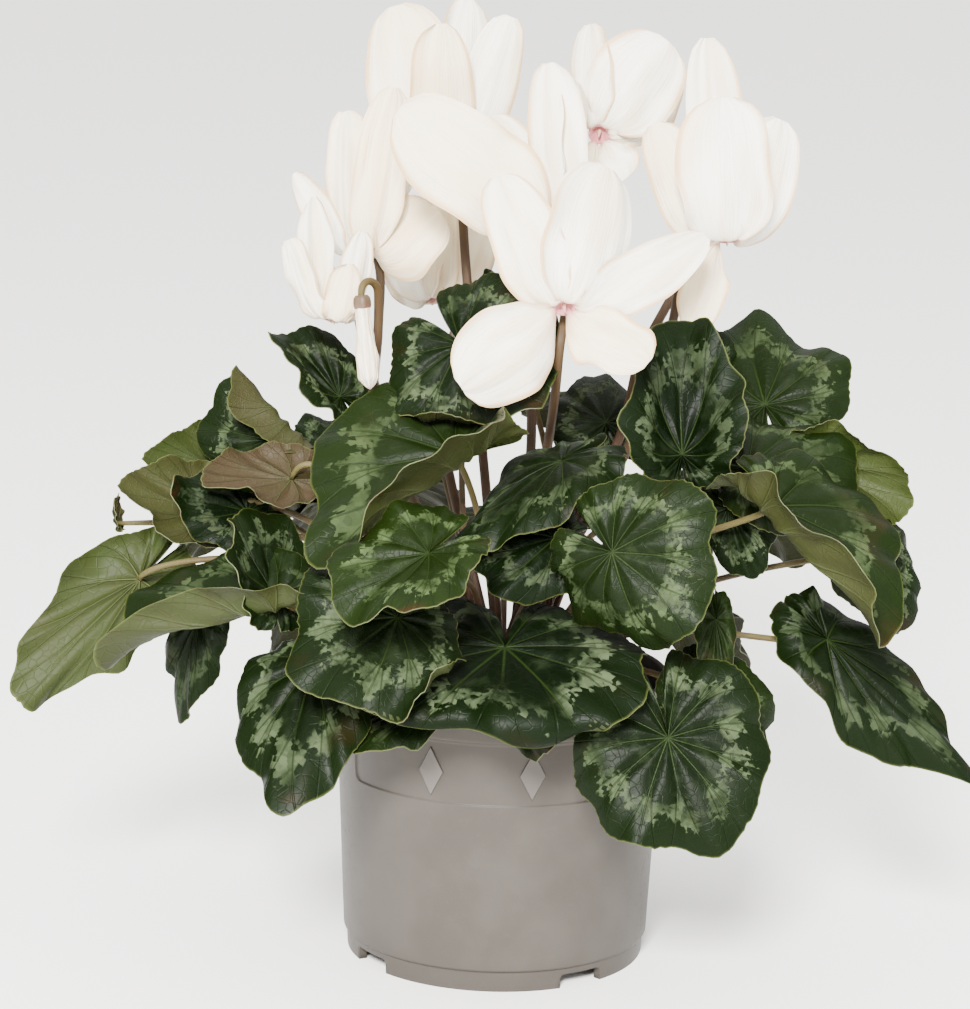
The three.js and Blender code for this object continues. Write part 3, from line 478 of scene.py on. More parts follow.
leafTable = {
    "heart": leafRow((0.7, -77, 138.3), (-1.5, -128, 113.8), (53.8, -80, 138.9), 0.5, 0.03, 5,
        [(0, 0.62, -110, 0.14)], dent=0.25),
    "rim_left": leafRow((-24, -70, 119), (-60, -92, 102), (-16, -86, 116), 0.6, 0.06, 5,
        [(90, 0.3, -40, 0.4)], lift=(0, 0, -6)),
    "rim_small": leafRow((4, -84, 120), (18, -104, 109), (9, -88, 131), 0.5, 0.03, 3,
        bothSides(0.02, 20, 0.3), joins="rim_left", lift=(0, 0, -14)),
    "drape_left": leafRow((-68.6, -72, 130.0), (-78.9, -106, 86.7), (-44.0, -86, 126.1), 0.2, 0.04,
        4, [(90, 0.3, -60, 0.3), (-90, 0.42, -60, 0.3)], lift=(4, -4, -10)),
    "low_left": leafRow((-38, -92, 152), (-69, -110, 132), (-16, -110, 133), 0.42, 0.03, 4,
        [(90, 0.6, 120, 0.1)], lift=(-10, 0, 30)),
    "bright": leafRow((-26.9, -111, 180.1), (-57.6, -125, 162.7), (-15.2, -131, 169.8), 0.55, 0.05,
        5, bothSides(0.02, 14, 0.3), lift=(0, 6, 6)),
    "saddle": leafRow((37.6, -94, 178.5), (68.7, -108, 157.2), (58.1, -90, 206.1), 0.55, 0.03, 3,
        [(-90, 0.15, -50, 0.3)], lift=(16, 0, -10)),
    "dark_middle": leafRow((18, -62, 176), (-13, -74, 173), (26, -77, 161), 0.45, 0.04, 5),
    "wavy": leafRow((20, -48, 202), (-19, -76, 188), (35, -69, 201), 0.5, 0.1, 5),
    "low_right": leafRow((59.9, -92, 110.3), (69.1, -108, 70.7), (95.1, -88, 118.6), 0.75, 0.04, 5,
        [(-90, 0.5, -30, 0.4)]),
    "under_right": leafRow((77, -64, 117), (98, -72, 96), (92, -60, 130), 0.7, 0.04, 5,
        lift=(6, -4, -10)),
    "curl_right": leafRow((77, -70, 149), (78, -78, 126), (84, -68, 148), 0.5, 0.03, 3,
        bothSides(0.1, 30, 0.3), joins="under_right"),
    "corner": leafRow((82, -44, 185), (93, -57, 163), (96, -45, 189), 0.6, 0.04, 4,
        joins="dark_right"),
    "cloak": leafRow((-19, -62, 206), (-67, -88, 176), (8, -87, 184), 0.4, 0.03, 4,
        [(90, 0.02, 84, 0.12)]),
    "high_left": leafRow((-18, -40, 243), (6, -60, 221), (9, -35, 264), 0.62, 0.03, 4,
        [(-42, 0.66, 130, 0.12)]),
    "behind_bloom": leafRow((38, 12, 206), (31, 26, 227), (18, 7, 202), 0.6, 0.04, 5),
    "small_back": leafRow((1, 26, 246), (-6, 28, 264), (-10, 23, 242), 0.6, 0.03, 3,
        joins="behind_bloom"),
    "folded": leafRow((63.4, -56, 207.0), (60.8, -34, 252.9), (36.4, -58, 207.8), 0.25, 0.04, 5,
        bothSides(0.02, 48, 0.2), lift=(-24, 12, 0)),
    "dark_right": leafRow((63, -30, 183), (87, -22, 194), (55, -25, 194), 0.6, 0.04, 4,
        lift=(12, 0, -10)),
    "top_left": leafRow((-64, -2, 216), (-87, 8, 242), (-75, -8, 208), 0.3, 0.04, 4,
        [(90, 0.02, 60, 0.15)], lift=(0, 6, 0)),
    "behind_left": leafRow((-66, -2, 197), (-79, 4, 209), (-74, -11, 188), 0.6, 0.03, 4,
        joins="top_left"),
    "peak": leafRow((-90, -8, 200), (-98, 2, 229), (-114, -6, 190), 0.5, 0.03, 4,
        [(-60, 0.2, 150, 0.12)], lift=(0, -16, 8)),
    "round": leafRow((-104, 0, 183), (-138, -6, 182), (-108, 16, 201), 0.7, 0.02, 4,
        lift=(0, 0, -6)),
    "pink_point": leafRow((-111, -29, 176), (-145, -34, 181), (-109, -15, 190), 0.45, 0.02, 3,
        lift=(0, 18, -10)),
    "edge_left": leafRow((-147, -12, 167), (-151, -12, 178), (-146, -8, 167), 0.3, 0.02, 3,
        joins="pink_point"),
    "dark_left": leafRow((-96, -37, 178), (-124, -45, 186), (-100, -48, 165), 0.5, 0.04, 4,
        [(0, 0.7, 60, 0.2)]),
    "blush": leafRow((-80, -34, 190), (-113, -42, 185), (-84, -21, 199), 0.5, 0.03, 4,
        joins="dark_left"),
    "boat": leafRow((-83, -72, 153), (-148, -62, 135), (-80, -92, 135), 0.25, 0.03, 4,
        [(90, 0.04, 125, 0.08)]),
    "cup_left": leafRow((-84, -68, 154), (-92, -50, 183), (-100, -84, 158), 0.4, 0.03, 4,
        bothSides(0.25, 45, 0.3), joins="boat"),
    "far_left": leafRow((-136, -36, 151), (-181, -44, 107), (-150, -31, 164), 0.35, 0.03, 4,
        [(-90, 0.05, 80, 0.15)], lift=(0, -6, 4)),
    "hang_left": leafRow((-113, -46, 139), (-128, -52, 102), (-102, -54, 136), 0.3, 0.08, 5,
        lift=(0, -8, -8)),
    "crest": leafRow((97, -8, 218), (87, 14, 253), (64, -8, 207), 0.5, 0.05, 5),
    "behind_right": leafRow((75, 6, 232), (76, 10, 248), (63, 6, 232), 0.6, 0.03, 3, joins="crest"),
    "shield": leafRow((89, -44, 200), (128, -38, 217), (78, -22, 216), 0.35, 0.04, 5,
        joins="dark_right"),
    "lime_right": leafRow((117, -24, 197), (153, -24, 186), (112, -20, 177), 0.5, 0.03, 4,
        joins="dark_right"),
    "silver": leafRow((97, -72, 192), (141, -92, 151), (119, -48, 206), 0.35, 0.03, 4,
        [(-90, 0.06, 92, 0.12)], lift=(4, -14, 4)),
    "far_right": leafRow((120.1, -46, 136.6), (172, -56, 88), (136.0, -34, 143.2), 0.3, 0.05, 6,
        [(90, 0.3, -40, 0.4), (-90, 0.3, -30, 0.4)], lift=(0, -2, -12)),
    "behind_silver": leafRow((134, -46, 171), (156, -54, 147), (148, -36, 179), 0.5, 0.03, 4,
        joins="far_right", lift=(0, 0, -18)),
    "back_right": leafRow((88, 52, 172), (128, 74, 154), (70, 82, 168), 0.6, 0.04, 5),
    "back_inner_right": leafRow((56, 92, 160), (78, 126, 142), (24, 112, 158), 0.6, 0.04, 5),
    "back_middle": leafRow((2, 100, 150), (2, 138, 132), (-34, 100, 152), 0.6, 0.04, 5),
    "back_inner_left": leafRow((-52, 90, 164), (-76, 122, 148), (-84, 66, 166), 0.6, 0.04, 4),
    "back_left": leafRow((-96, 48, 168), (-134, 68, 152), (-112, 16, 172), 0.6, 0.04, 5),
    "back_high_right": leafRow((38, 52, 206), (58, 84, 192), (8, 70, 204), 0.6, 0.04, 5),
    "back_high_left": leafRow((-34, 56, 208), (-54, 90, 194), (-64, 38, 208), 0.6, 0.04, 4),
    "back_low_right": leafRow((74, 72, 122), (96, 94, 98), (50, 94, 120), 0.6, 0.04, 5),
    "back_low_left": leafRow((-70, 74, 122), (-92, 96, 98), (-94, 52, 122), 0.6, 0.04, 5),
}

# How silver, how pink and how young some leaves are. The others are as the usual one.
leafTones = {
    "usual": (0.85, 0.15, 0.1), "heart": (1.0, 0.05, 0.0), "bright": (1.0, 0.3, 0.55),
    "saddle": (0.9, 0.1, 0.3), "low_left": (0.9, 0.1, 0.15), "cloak": (0.7, 0.25, 0.45),
    "far_left": (0.2, 0.1, 0.45), "pink_point": (0.4, 0.4, 0.5), "edge_left": (0.2, 0.8, 0.8),
    "blush": (0.5, 0.7, 0.2), "round": (0.5, 0.1, 0.6), "boat": (0.7, 0.15, 0.3),
    "cup_left": (0.6, 0.1, 0.1), "dark_left": (0.5, 0.4, 0.0), "dark_middle": (0.6, 0.1, 0.0),
    "wavy": (0.7, 0.2, 0.1), "high_left": (0.9, 0.2, 0.1), "folded": (0.6, 0.0, 0.0),
    "crest": (0.6, 0.1, 0.3), "shield": (0.5, 0.1, 0.35), "lime_right": (0.1, 0.2, 0.8),
    "silver": (0.8, 0.25, 0.4), "far_right": (0.5, 0.2, 0.1), "curl_right": (0.2, 0.3, 0.5),
    "under_right": (0.7, 0.2, 0.4), "low_right": (0.9, 0.1, 0.1), "rim_left": (0.8, 0.3, 0.3),
    "rim_small": (0.2, 0.6, 0.2), "hang_left": (0.3, 0.5, 0.1), "peak": (0.9, 0.3, 0.2),
}

leafForm = {
    "thickness": 0.62,
    "samplesRound": 168,
    "samplesOut": 13,
    "smallLength": 34,
    "breadth": 0.95,
    "point": 0.05,
    "pointWidth": 0.25,
    "notch": 0.9,
    "notchWidth": 0.04,
    "toothGap": 3.4,
    "toothDepth": 0.8,
    "quilting": 1.2,
    "valley": 2.2,
    "ruffle": 0.042,
    "curl": 0.05,
    "wander": 0.055,
    "rim": 0.16,
    "petioleRadius": 1.45,
    "petioleRise": 0.48,
    "petioleLean": 0.45,
    "petioleReach": 0.28,
    "petioleArrival": (0.25, 0.97),
    "petioleApart": 0.3,
    "petioleSamples": 30,
    "petioleSides": 9,
}


def leafReach(leaf, angle):
    lobe, breadth = leaf["lobe"], leafForm["breadth"]
    oval = (breadth + lobe + (breadth - lobe) * np.cos(angle)) / 2
    point = (leafForm["point"] - leaf["dent"]) * np.exp(-((angle / leafForm["pointWidth"]) ** 2))
    fromNotch = (math.pi - np.abs(angle)) / math.pi
    notch = leafForm["notch"] * np.exp(-((fromNotch / leafForm["notchWidth"]) ** 2))
    return (oval + point) * (1 - notch)


def leafAxes(leaf):
    tip = unit(leaf["tip"] - leaf["at"])
    toSide = leaf["side"] - leaf["at"]
    toSide = toSide - tip * float(toSide @ tip)
    side = unit(toSide)
    angles = np.arange(0, math.pi, 0.1)
    breadth = float(np.max(leafReach(leaf, angles) * np.sin(angles)))
    length = float(np.linalg.norm(leaf["tip"] - leaf["at"]))
    wide = float(np.linalg.norm(toSide)) / (breadth * length)
    return tip, side, np.cross(tip, side), length, wide


# Where points of the flat blade lie once it is waved and bent.
def leafPoints(leaf, axes, p, q, h):
    tip, side, face, length, _ = axes
    out = np.hypot(p, q) / length
    waves = np.sin(leaf["waves"] * np.arctan2(q, p) + leaf["at"][0])
    h = h + leaf["wave"] * length * out**2 * waves
    for direction, start, turn, radius in leaf["bends"]:
        c, s = math.cos(math.radians(direction)), math.sin(math.radians(direction))
        past = p * c + q * s - start * length
        r = radius * length
        up = 1 if turn > 0 else -1
        angle = np.minimum(np.maximum(past, 0) / r, abs(math.radians(turn)))
        rest = np.maximum(past, 0) - r * angle
        moved = (r - up * h) * np.sin(angle) + rest * np.cos(angle) - past
        lifted = up * (r - (r - up * h) * np.cos(angle) + rest * np.sin(angle))
        bent = past > 0
        h = np.where(bent, lifted, h)
        p = np.where(bent, p + moved * c, p)
        q = np.where(bent, q + moved * s, q)
    return leaf["at"] + p[..., None] * tip + q[..., None] * side + h[..., None] * face


def addBlade(pile, leaf, axes, tone):
    length, wide = axes[3:]
    rows, count = leafForm["samplesOut"], leafForm["samplesRound"]
    if length <= leafForm["smallLength"]:
        count = count * 2 // 3
    own = float(leaf["at"] @ [0.37, 0.73, 0.19]) % 10.0
    even = np.linspace(-1, 1, count)
    angle = math.pi * (0.45 * even + 0.55 * np.sin(math.pi * even / 2))
    wander = waveSum(angle, own, [(1, 4, 1), (0.8, 7, 2), (0.4, 12, 3)]) * np.cos(angle / 2) ** 0.5
    reach = leafReach(leaf, angle) * (1 + leafForm["wander"] * wander)
    # Small rounded teeth of even width along the margin
    edge = np.stack([reach * np.cos(angle), reach * wide * np.sin(angle)], axis=1) * length
    run = runAlong(edge)
    teeth = np.abs(np.sin(math.pi * run / leafForm["toothGap"])) - 0.6
    teeth = teeth * leafForm["toothDepth"] * (0.75 + 0.35 * np.sin(run * 0.31 + own))
    s = np.linspace(0, 1, rows)[:, None] ** 0.85 * np.ones(count)
    far = reach * length * s + teeth * s**14
    p = far * np.cos(angle)
    q = far * wide * np.sin(angle)
    # The blade swells between its veins and ripples near its margin
    bent = np.abs(angle) + leafLook["veinBend"] * np.sin(np.abs(angle)) * s**2
    aside = fromMultiple(bent, leafLook["veinGap"])
    valley = np.exp(-((aside * s * length / leafForm["valley"]) ** 2))
    swell = leafForm["quilting"] * (1 - valley) * (1 - s**6)
    ripples = waveSum(angle, own, [(1, 5, 5), (0.7, 9, 3), (0.45, 17, 7)])
    ripples = leafForm["ruffle"] * length * s**3 * ripples - leafForm["curl"] * length * s**6
    middle = swell + ripples
    half = leafForm["thickness"] / 2 * (1 - 0.45 * s**3)
    # The two faces, on the normals of the bent blade
    step = 0.25
    ahead, back, left, right, centre = [
        leafPoints(leaf, axes, p + x * step, q + y * step, middle)
        for x, y in ((1, 0), (-1, 0), (0, 1), (0, -1), (0, 0))
    ]
    normal = unitRows(np.cross(ahead - back, left - right)) * half[..., None]
    upper, lower = (centre + normal).reshape(-1, 3), (centre - normal).reshape(-1, 3)
    polar = gridNotes(np.abs(angle), s, length)
    flat = gridNotes(p / length, q / length, own)
    pile.add(upper, gridFaces(rows, count, flip=True), 0, polar, flat, tone)
    pile.add(lower, gridFaces(rows, count), 1, polar, flat, tone)
    # The margin between them, with a rounded middle line
    rim = centre[-1] + unitRows(centre[-1] - centre[-2]) * leafForm["rim"]
    line = np.concatenate([upper[-count:], rim, lower[-count:]])
    polar, flat = np.tile(polar[-count:], (3, 1)), np.tile(flat[-count:], (3, 1))
    pile.add(line, gridFaces(3, count, flip=True), 2, polar, flat, tone)


# The crown of the corm, with a place for each petiole: low leaves on the outer ring, high inside.
crownForm = {
    "rings": [17.2, 13.2, 9.3],
    "shares": [0.46, 0.34, 0.2],
    "spacing": 4.3,
    "flowerRing": 5.4,
    "top": 103.5,
    "clearance": 0.35,
    "petioleSeat": 0.8,
}


# Pushes angles in order round a ring until they are at least so far apart.
def spread(angles, least):
    order = sorted(range(len(angles)), key=lambda i: angles[i])
    found = [angles[i] for i in order]
    for _ in range(400):
        for i in range(len(found)):
            after = (i + 1) % len(found)
            gap = found[after] - found[i] + (fullTurn if after == 0 else 0)
            push = max(0.0, least - gap) / 2
            found[i] -= push
            found[after] += push
    return {order[i]: found[i] for i in range(len(found))}


def onRing(radius, angle, height):
    return vec([radius * math.cos(angle), radius * math.sin(angle), height])


def crownSlots():
    def steepness(name):
        at = leafTable[name]["at"]
        return (at[2] - crownForm["top"]) / math.hypot(at[0], at[1])

    waiting = sorted([name for name, leaf in leafTable.items() if not leaf["joins"]], key=steepness)
    counts = [int(share * len(waiting) + 0.5) for share in crownForm["shares"][:-1]]
    counts.append(len(waiting))
    height = crownForm["top"] + crownForm["petioleSeat"] + crownForm["clearance"]
    slots = {}
    for radius, count in zip(crownForm["rings"], counts):
        here, waiting = waiting[:count], waiting[count:]
        angles = [math.atan2(leafTable[name]["at"][1], leafTable[name]["at"][0]) for name in here]
        for i, angle in spread(angles, crownForm["spacing"] / radius).items():
            slots[here[i]] = onRing(radius, angle, height)
    return slots


def addPetiole(pile, leaf, axes, root, tone):
    tip, _, face, _, _ = axes
    start = root + face * (leafForm["petioleApart"] if leaf["joins"] else 0.0)
    alongTip, alongFace = leafForm["petioleArrival"]
    arrival = tip * alongTip + face * alongFace
    end = leafPoints(leaf, axes, np.zeros(1), np.zeros(1), np.zeros(1))[0]
    span = float(np.linalg.norm(end - start))
    outward = unit([root[0], root[1], 0.0]) * leafForm["petioleLean"]
    rise = (outward + vec([0, 0, 1])) * leafForm["petioleRise"] * span
    approach = end - arrival * leafForm["petioleReach"] * span
    t = np.linspace(0, 1, leafForm["petioleSamples"])
    line = bezier([start, start + rise + leaf["lift"], approach, end], t)
    taper = 1.06 - 0.22 * smooth(0.0, 0.5, t) - 0.2 * smooth(0.85, 1.0, t)
    radii = leafForm["petioleRadius"] * taper
    points, faces, polar = tube(line, radii, leafForm["petioleSides"], leaf["at"][0] * 0.1)
    pile.add(points, faces, 3, polar, None, tone)


leafMaterials = [leafTopMaterial(), leafUnderMaterial(), leafEdgeMaterial()]
leafMaterials.append(stalkMaterial("petiole"))
slots = crownSlots()
shoots = {}
for name, leaf in leafTable.items():
    home = leaf["joins"] or name
    pile = shoots.setdefault(home, Pile())
    tone = leafTones.get(name, leafTones["usual"])
    axes = leafAxes(leaf)
    addBlade(pile, leaf, axes, tone)
    addPetiole(pile, leaf, axes, slots[home], tone)
for home, pile in shoots.items():
    pile.build("leaf." + home, leafMaterials, "leaf", "leaf_" + home)
print("leaves:", len(leafTable), "in", len(shoots), "shoots")


# Flowers. Polar holds the place across the petal, the place along it and a number of its own.
petalLook = {
    "white": (0.84, 0.81, 0.7),
    "cream": (0.78, 0.64, 0.42),
    # Painted shade, laid in the folds and towards the foot of each petal
    "shade": (0.64, 0.44, 0.23),
    # Painted shade along the petal margins
    "edge": (0.54, 0.31, 0.12),
    # Painted shade in the creases near the mouth
    "crease": (0.5, 0.4, 0.34),
    "pink": (0.5, 0.16, 0.2),
    "depth": 0.0011,
    "finish": {
        "Subsurface Weight": 0.15,
        "Subsurface Radius": (0.004, 0.003, 0.002),
        "Subsurface Scale": 1.0,
        "Sheen Weight": 0.08,
        "Specular IOR Level": 0.3,
    },
}
calyxLook = {
    "green": (0.05, 0.045, 0.014),
    "red": (0.08, 0.018, 0.016),
    "pale": (0.16, 0.07, 0.05),
    "depth": 0.0003,
}


def petalMaterial():
    graph = Graph("petal")
    across, along, own = graph.note("polar").parts()
    wide = abs(across)
    lines = graph.noise(graph.vector(across * 9.0, along * 1.2, own), 2.6, 3.0)
    folds = graph.noise(graph.vector(across * 1.2, along * 1.1, own), 1.4, 1.0)
    whole = graph.noise(graph.vector(own * 7.3, own * 1.7, 0.5), 1.0, 0.0)
    grain = graph.noise(graph.note("flat"), 0.9, 2.0)
    color = (whole.rise(0.42, 0.6) * 0.75).blend(petalLook["white"], petalLook["cream"])
    # Painted shade: a peach shade in the folds and along the fine lines
    shaded = folds.rise(0.42, 0.7) * 0.45 + lines.rise(0.5, 0.8) * 0.12
    color = shaded.blend(color, petalLook["shade"])
    # Painted shade along the margins, in peach
    margin = wide.rise(0.8, 0.98) * folds.rise(0.2, 0.5) * 0.85
    color = margin.blend(color, petalLook["edge"])
    # Painted shade towards the foot of each petal, where the petals meet
    color = (along.rise(0.45, 0.0) * 0.5).blend(color, petalLook["shade"])
    # Painted shade in grey creases that run out from the mouth
    creases = lines.rise(0.48, 0.6) * along.rise(0.75, 0.15) * 0.3
    color = creases.blend(color, petalLook["crease"])
    throat = along.rise(0.2, 0.0) * (0.55 + lines * 0.7)
    color = throat.least(1.0).blend(color, petalLook["pink"])
    height = folds * 5.0 + lines * 0.7 + grain * 0.15 - wide.rise(0.2, 0.0) * 0.15
    normal = graph.bump(height, petalLook["depth"], 0.6)
    return graph.surface(color, 0.5 + grain * 0.12, {"Normal": normal, **petalLook["finish"]})


def calyxMaterial():
    graph = Graph("calyx")
    turn, along, own = graph.note("polar").parts()
    bits = graph.noise(graph.vector(turn * 3.0, along * 2.0, own), 2.4)
    color = bits.rise(0.35, 0.7).blend(calyxLook["green"], calyxLook["red"])
    color = (along.rise(0.6, 1.0) * 0.5).blend(color, calyxLook["pale"])
    normal = graph.bump(bits, calyxLook["depth"], 0.5)
    return graph.surface(color, 0.5 + bits * 0.1, {"Normal": normal})


# Each flower has the angle of its stem's root, the mouth that the petals turn back from, the way it
# looks, the path of its stem, and the tip and a side of each petal.
def flowerRow(name, root, mouth, axis, path, petals):
    return {"name": name, "root": root, "mouth": vec(mouth), "axis": unit(axis), "path": path,
            "petals": petals}


flowerTable = [
    flowerRow("front", -80, (19, -60, 260), (0.1, -0.72, -0.68),
        [(9, -16, 150), (15, -18, 200), (17, -40, 226), (18, -51, 245), (20, -43, 259)],
        [((-5, -50, 304), (-11, -53, 286)), ((33, -42, 307), (46, -41, 286)),
         ((68, -40, 284), (53, -56, 264)), ((48, -74, 244), (30, -76, 241)),
         ((-16, -74, 234), (-13, -71, 258))]),
    flowerRow("left_centre", -35, (16, -22, 290), (0.2, -0.3, -0.9),
        [(9, -8, 211), (4, -12, 245), (12, -8, 278), (19, -7, 301)],
        [((-40, -34, 326), (-24, -37, 291)), ((12, -14, 342), (5, -18, 317)),
         ((22, -2, 335), (30, 4, 311)), ((-9, 11, 320), (-17, 10, 308)),
         ((33, 10, 296), (29, 8, 287))]),
    flowerRow("top_left", 100, (-25, 28, 308), (-0.1, -0.4, -0.9),
        [(-16, 26, 250), (-18, 30, 269), (-20, 34, 292), (-22, 42, 307)],
        [((-46, 38, 359), (-57, 35, 332)), ((-29, 19, 354), (-41, 17, 333)),
         ((-19, 47, 362), (-8, 46, 342)), ((-3, 37, 356), (4, 37, 340)),
         ((-49, 54, 326), (-52, 53, 317))]),
    flowerRow("low_back", 145, (-29, 42, 248), (0, -0.35, -0.94),
        [(-27, 40, 209), (-21, 54, 236), (-17, 58, 250)],
        [((-45, 44, 283), (-52, 44, 264)), ((-28, 34, 290), (-36, 34, 270)),
         ((-11, 46, 283), (-6, 46, 267)), ((-48, 50, 257), (-51, 50, 253)),
         ((-37, 60, 270), (-43, 58, 262))]),
    flowerRow("left", 232, (-56, 0, 271), (-0.1, -0.5, -0.85),
        [(-20, 0, 150), (-50, 4, 206), (-50, 5, 241), (-50, 9, 263), (-54, 12, 275)],
        [((-46, 6, 330), (-39, 3, 307)), ((-82, 8, 298), (-68, 4, 288)),
         ((-29, 4, 286), (-30, -5, 267)), ((-64, 18, 320), (-71, 17, 302)),
         ((-38, 32, 306), (-36, 31, 296))]),
    flowerRow("far_left", 183, (-65, -26, 249), (-0.2, -0.3, -0.93),
        [(-36, 10, 170), (-50, 10, 215), (-58, 0, 248), (-61, -10, 264)],
        [((-82, -26, 277), (-83, -24, 262)), ((-74, -15, 291), (-80, -15, 275)),
         ((-56, -22, 280), (-52, -22, 265)), ((-60, -35, 270), (-55, -34, 260)),
         ((-71, -7, 283), (-66, -5, 272))]),
    flowerRow("top_right", 55, (32, 18, 316), (-0.1, -0.9, -0.35),
        [(43, 6, 201), (50, 8, 232), (69, 16, 277), (58, 30, 310), (48, 36, 321)],
        [((28, 30, 355), (19, 29, 338)), ((56, 26, 350), (60, 23, 325)),
         ((25, 9, 298), (22, 11, 308)), ((42, 9, 301), (48, 11, 308)),
         ((61, 38, 341), (68, 37, 329))]),
    flowerRow("right", 10, (80, -12, 280), (0.05, -0.25, -0.97),
        [(49, -4, 206), (60, -2, 241), (64, -5, 267), (66, -7, 281)],
        [((76, -16, 331), (96, -10, 304)), ((53, -2, 320), (51, -8, 298)),
         ((72, 14, 350), (85, 11, 335)), ((68, -20, 247), (79, -15, 256)),
         ((99, 6, 322), (108, 4, 301))]),
]

petalForm = {
    "thickness": 0.5,
    "samplesAlong": 34,
    "samplesAcross": 17,
    "rowPower": 0.9,
    "overrun": 1.026,
    "footIn": 0.8,
    "footBack": 1.3,
    "widest": 0.64,
    "foot": 0.18,
    "footPower": 1.5,
    "tipSpan": 0.39,
    "tipPower": 0.42,
    "flare": 6.0,
    "bulge": 3.0,
    "cup": -0.16,
    "apart": 60,
    "frill": 1.5,
    "crease": 0.9,
    "creaseWidth": 0.22,
    "uneven": 0.07,
    "curl": 0.2,
}
throatForm = {
    "radius": 4.1,
    "length": 9.0,
    "sides": 30,
    "sepals": 5,
    "sepalLength": 6.6,
    "sepalSteps": 9,
    "sepalTurns": (-1, -0.5, 0, 0.5, 1),
    "styleRun": (-3.2, 1.6),
    "styleRadii": (1.1, 0.25),
    "styleSteps": 8,
}


def flowerPlane(axis):
    right = unit(np.cross(axis, [0, 0, 1]))
    return right, np.cross(right, axis)


def petalFeet(flower):
    right, up = flowerPlane(flower["axis"])
    aims = [vec(tip) - flower["mouth"] for tip, _ in flower["petals"]]
    angles = [math.atan2(float(aim @ up), float(aim @ right)) for aim in aims]
    found = spread(angles, math.radians(petalForm["apart"]))
    return [turned(np.array(found[i]), right, up) for i in range(len(angles))]


def petalWidth(u):
    foot, widest = petalForm["foot"], petalForm["widest"]
    rising = foot + (1 - foot) * np.sin(math.pi * u / widest / 2) ** petalForm["footPower"]
    past = np.maximum(0.0, u - widest) / petalForm["tipSpan"]
    falling = np.maximum(0.0, 1 - past**3) ** petalForm["tipPower"]
    return np.where(u < widest, rising, falling)


def addPetal(pile, flower, tip, sidePoint, outward, own):
    mouth, axis, tip = flower["mouth"], flower["axis"], vec(tip)
    flare, bulge = axis * petalForm["flare"], outward * petalForm["bulge"]
    start = mouth + outward * (throatForm["radius"] - petalForm["footIn"])
    start = start - axis * petalForm["footBack"]
    belly = mouth + (tip - mouth) * 0.4 + flare * 0.5 + bulge
    curve = [start, start + flare + bulge, belly, tip]
    rows, columns = petalForm["samplesAlong"], petalForm["samplesAcross"]
    u = np.linspace(0, 1, rows) ** petalForm["rowPower"] * petalForm["overrun"]
    step = 0.002
    centre = bezier(curve, u)
    ahead = unitRows(bezier(curve, u + step) - bezier(curve, u - step))
    # Across the petal, from its foot on the ring of the mouth to its broadest place
    foot = np.cross(outward, axis)
    widest = petalForm["widest"]
    middle, beyond = bezier(curve, [widest, widest + step])
    way = unit(beyond - middle)
    broad = vec(sidePoint) - middle
    broad = broad - way * float(broad @ way)
    half = float(np.linalg.norm(broad))
    broad = broad / half
    if float(broad @ foot) < 0:
        broad = -broad
    across = mix(foot, broad, np.minimum(1.0, u / widest)[:, None])
    across = unitRows(across - ahead * np.sum(across * ahead, axis=1)[:, None])
    face = unitRows(np.cross(across, ahead))[:, None, :]
    u = u[:, None]
    v = np.sin(np.linspace(-1, 1, columns) * math.pi / 2)
    side = np.sign(v)
    wide = half * petalWidth(u)
    cup = petalForm["cup"] * wide * (v**2 - 0.5)
    # A shallow crease along the middle, and margins that wave a little
    crease = np.exp(-((v / petalForm["creaseWidth"]) ** 2)) * np.sin(math.pi * np.minimum(u, 1))
    waves = np.sin(u * 9 + own * 3 + side * 1.3) + 0.5 * np.sin(u * 21 + own * 7 - side)
    waves = waves * smooth(0.5, 1.0, np.abs(v)) * smooth(0.2, 0.55, u)
    cup = cup + petalForm["crease"] * crease + petalForm["frill"] * waves
    # One margin curls forward, and both are a little uneven
    curled = v * (1 if int(own * 7) % 2 else -1)
    cup = cup + petalForm["curl"] * wide * smooth(0.5, 1.0, curled) ** 2
    uneven = np.sin(u * 8 + own * 5 + side * 2) * smooth(0.3, 0.7, u)
    reach = v * wide * (1 + petalForm["uneven"] * uneven)
    sheet = centre[:, None, :] + across[:, None, :] * reach[..., None] + face * cup[..., None]
    normal = np.cross(np.gradient(sheet, axis=0), np.gradient(sheet, axis=1))
    size = np.linalg.norm(normal, axis=-1)[..., None]
    normal = np.where(size > 1e-6, normal / np.maximum(tiny, size), -face)
    thin = petalForm["thickness"] / 2 * (1 - 0.55 * v**4) * (1 - 0.4 * smooth(0.7, 1.0, u))
    normal = normal * thin[..., None]
    first, second = (sheet + normal).reshape(-1, 3), (sheet - normal).reshape(-1, 3)
    polar, flat = gridNotes(v, u, own), sheet.reshape(-1, 3)
    pile.add(first, gridFaces(rows, columns, flip=True), 0, polar, flat)
    pile.add(second, gridFaces(rows, columns), 0, polar, flat)
    spots = gridBorder(rows, columns)
    line = np.concatenate([first[spots], second[spots]])
    polar, flat = np.tile(polar[spots], (2, 1)), np.tile(flat[spots], (2, 1))
    pile.add(line, gridFaces(2, len(spots), closed=True), 0, polar, flat)


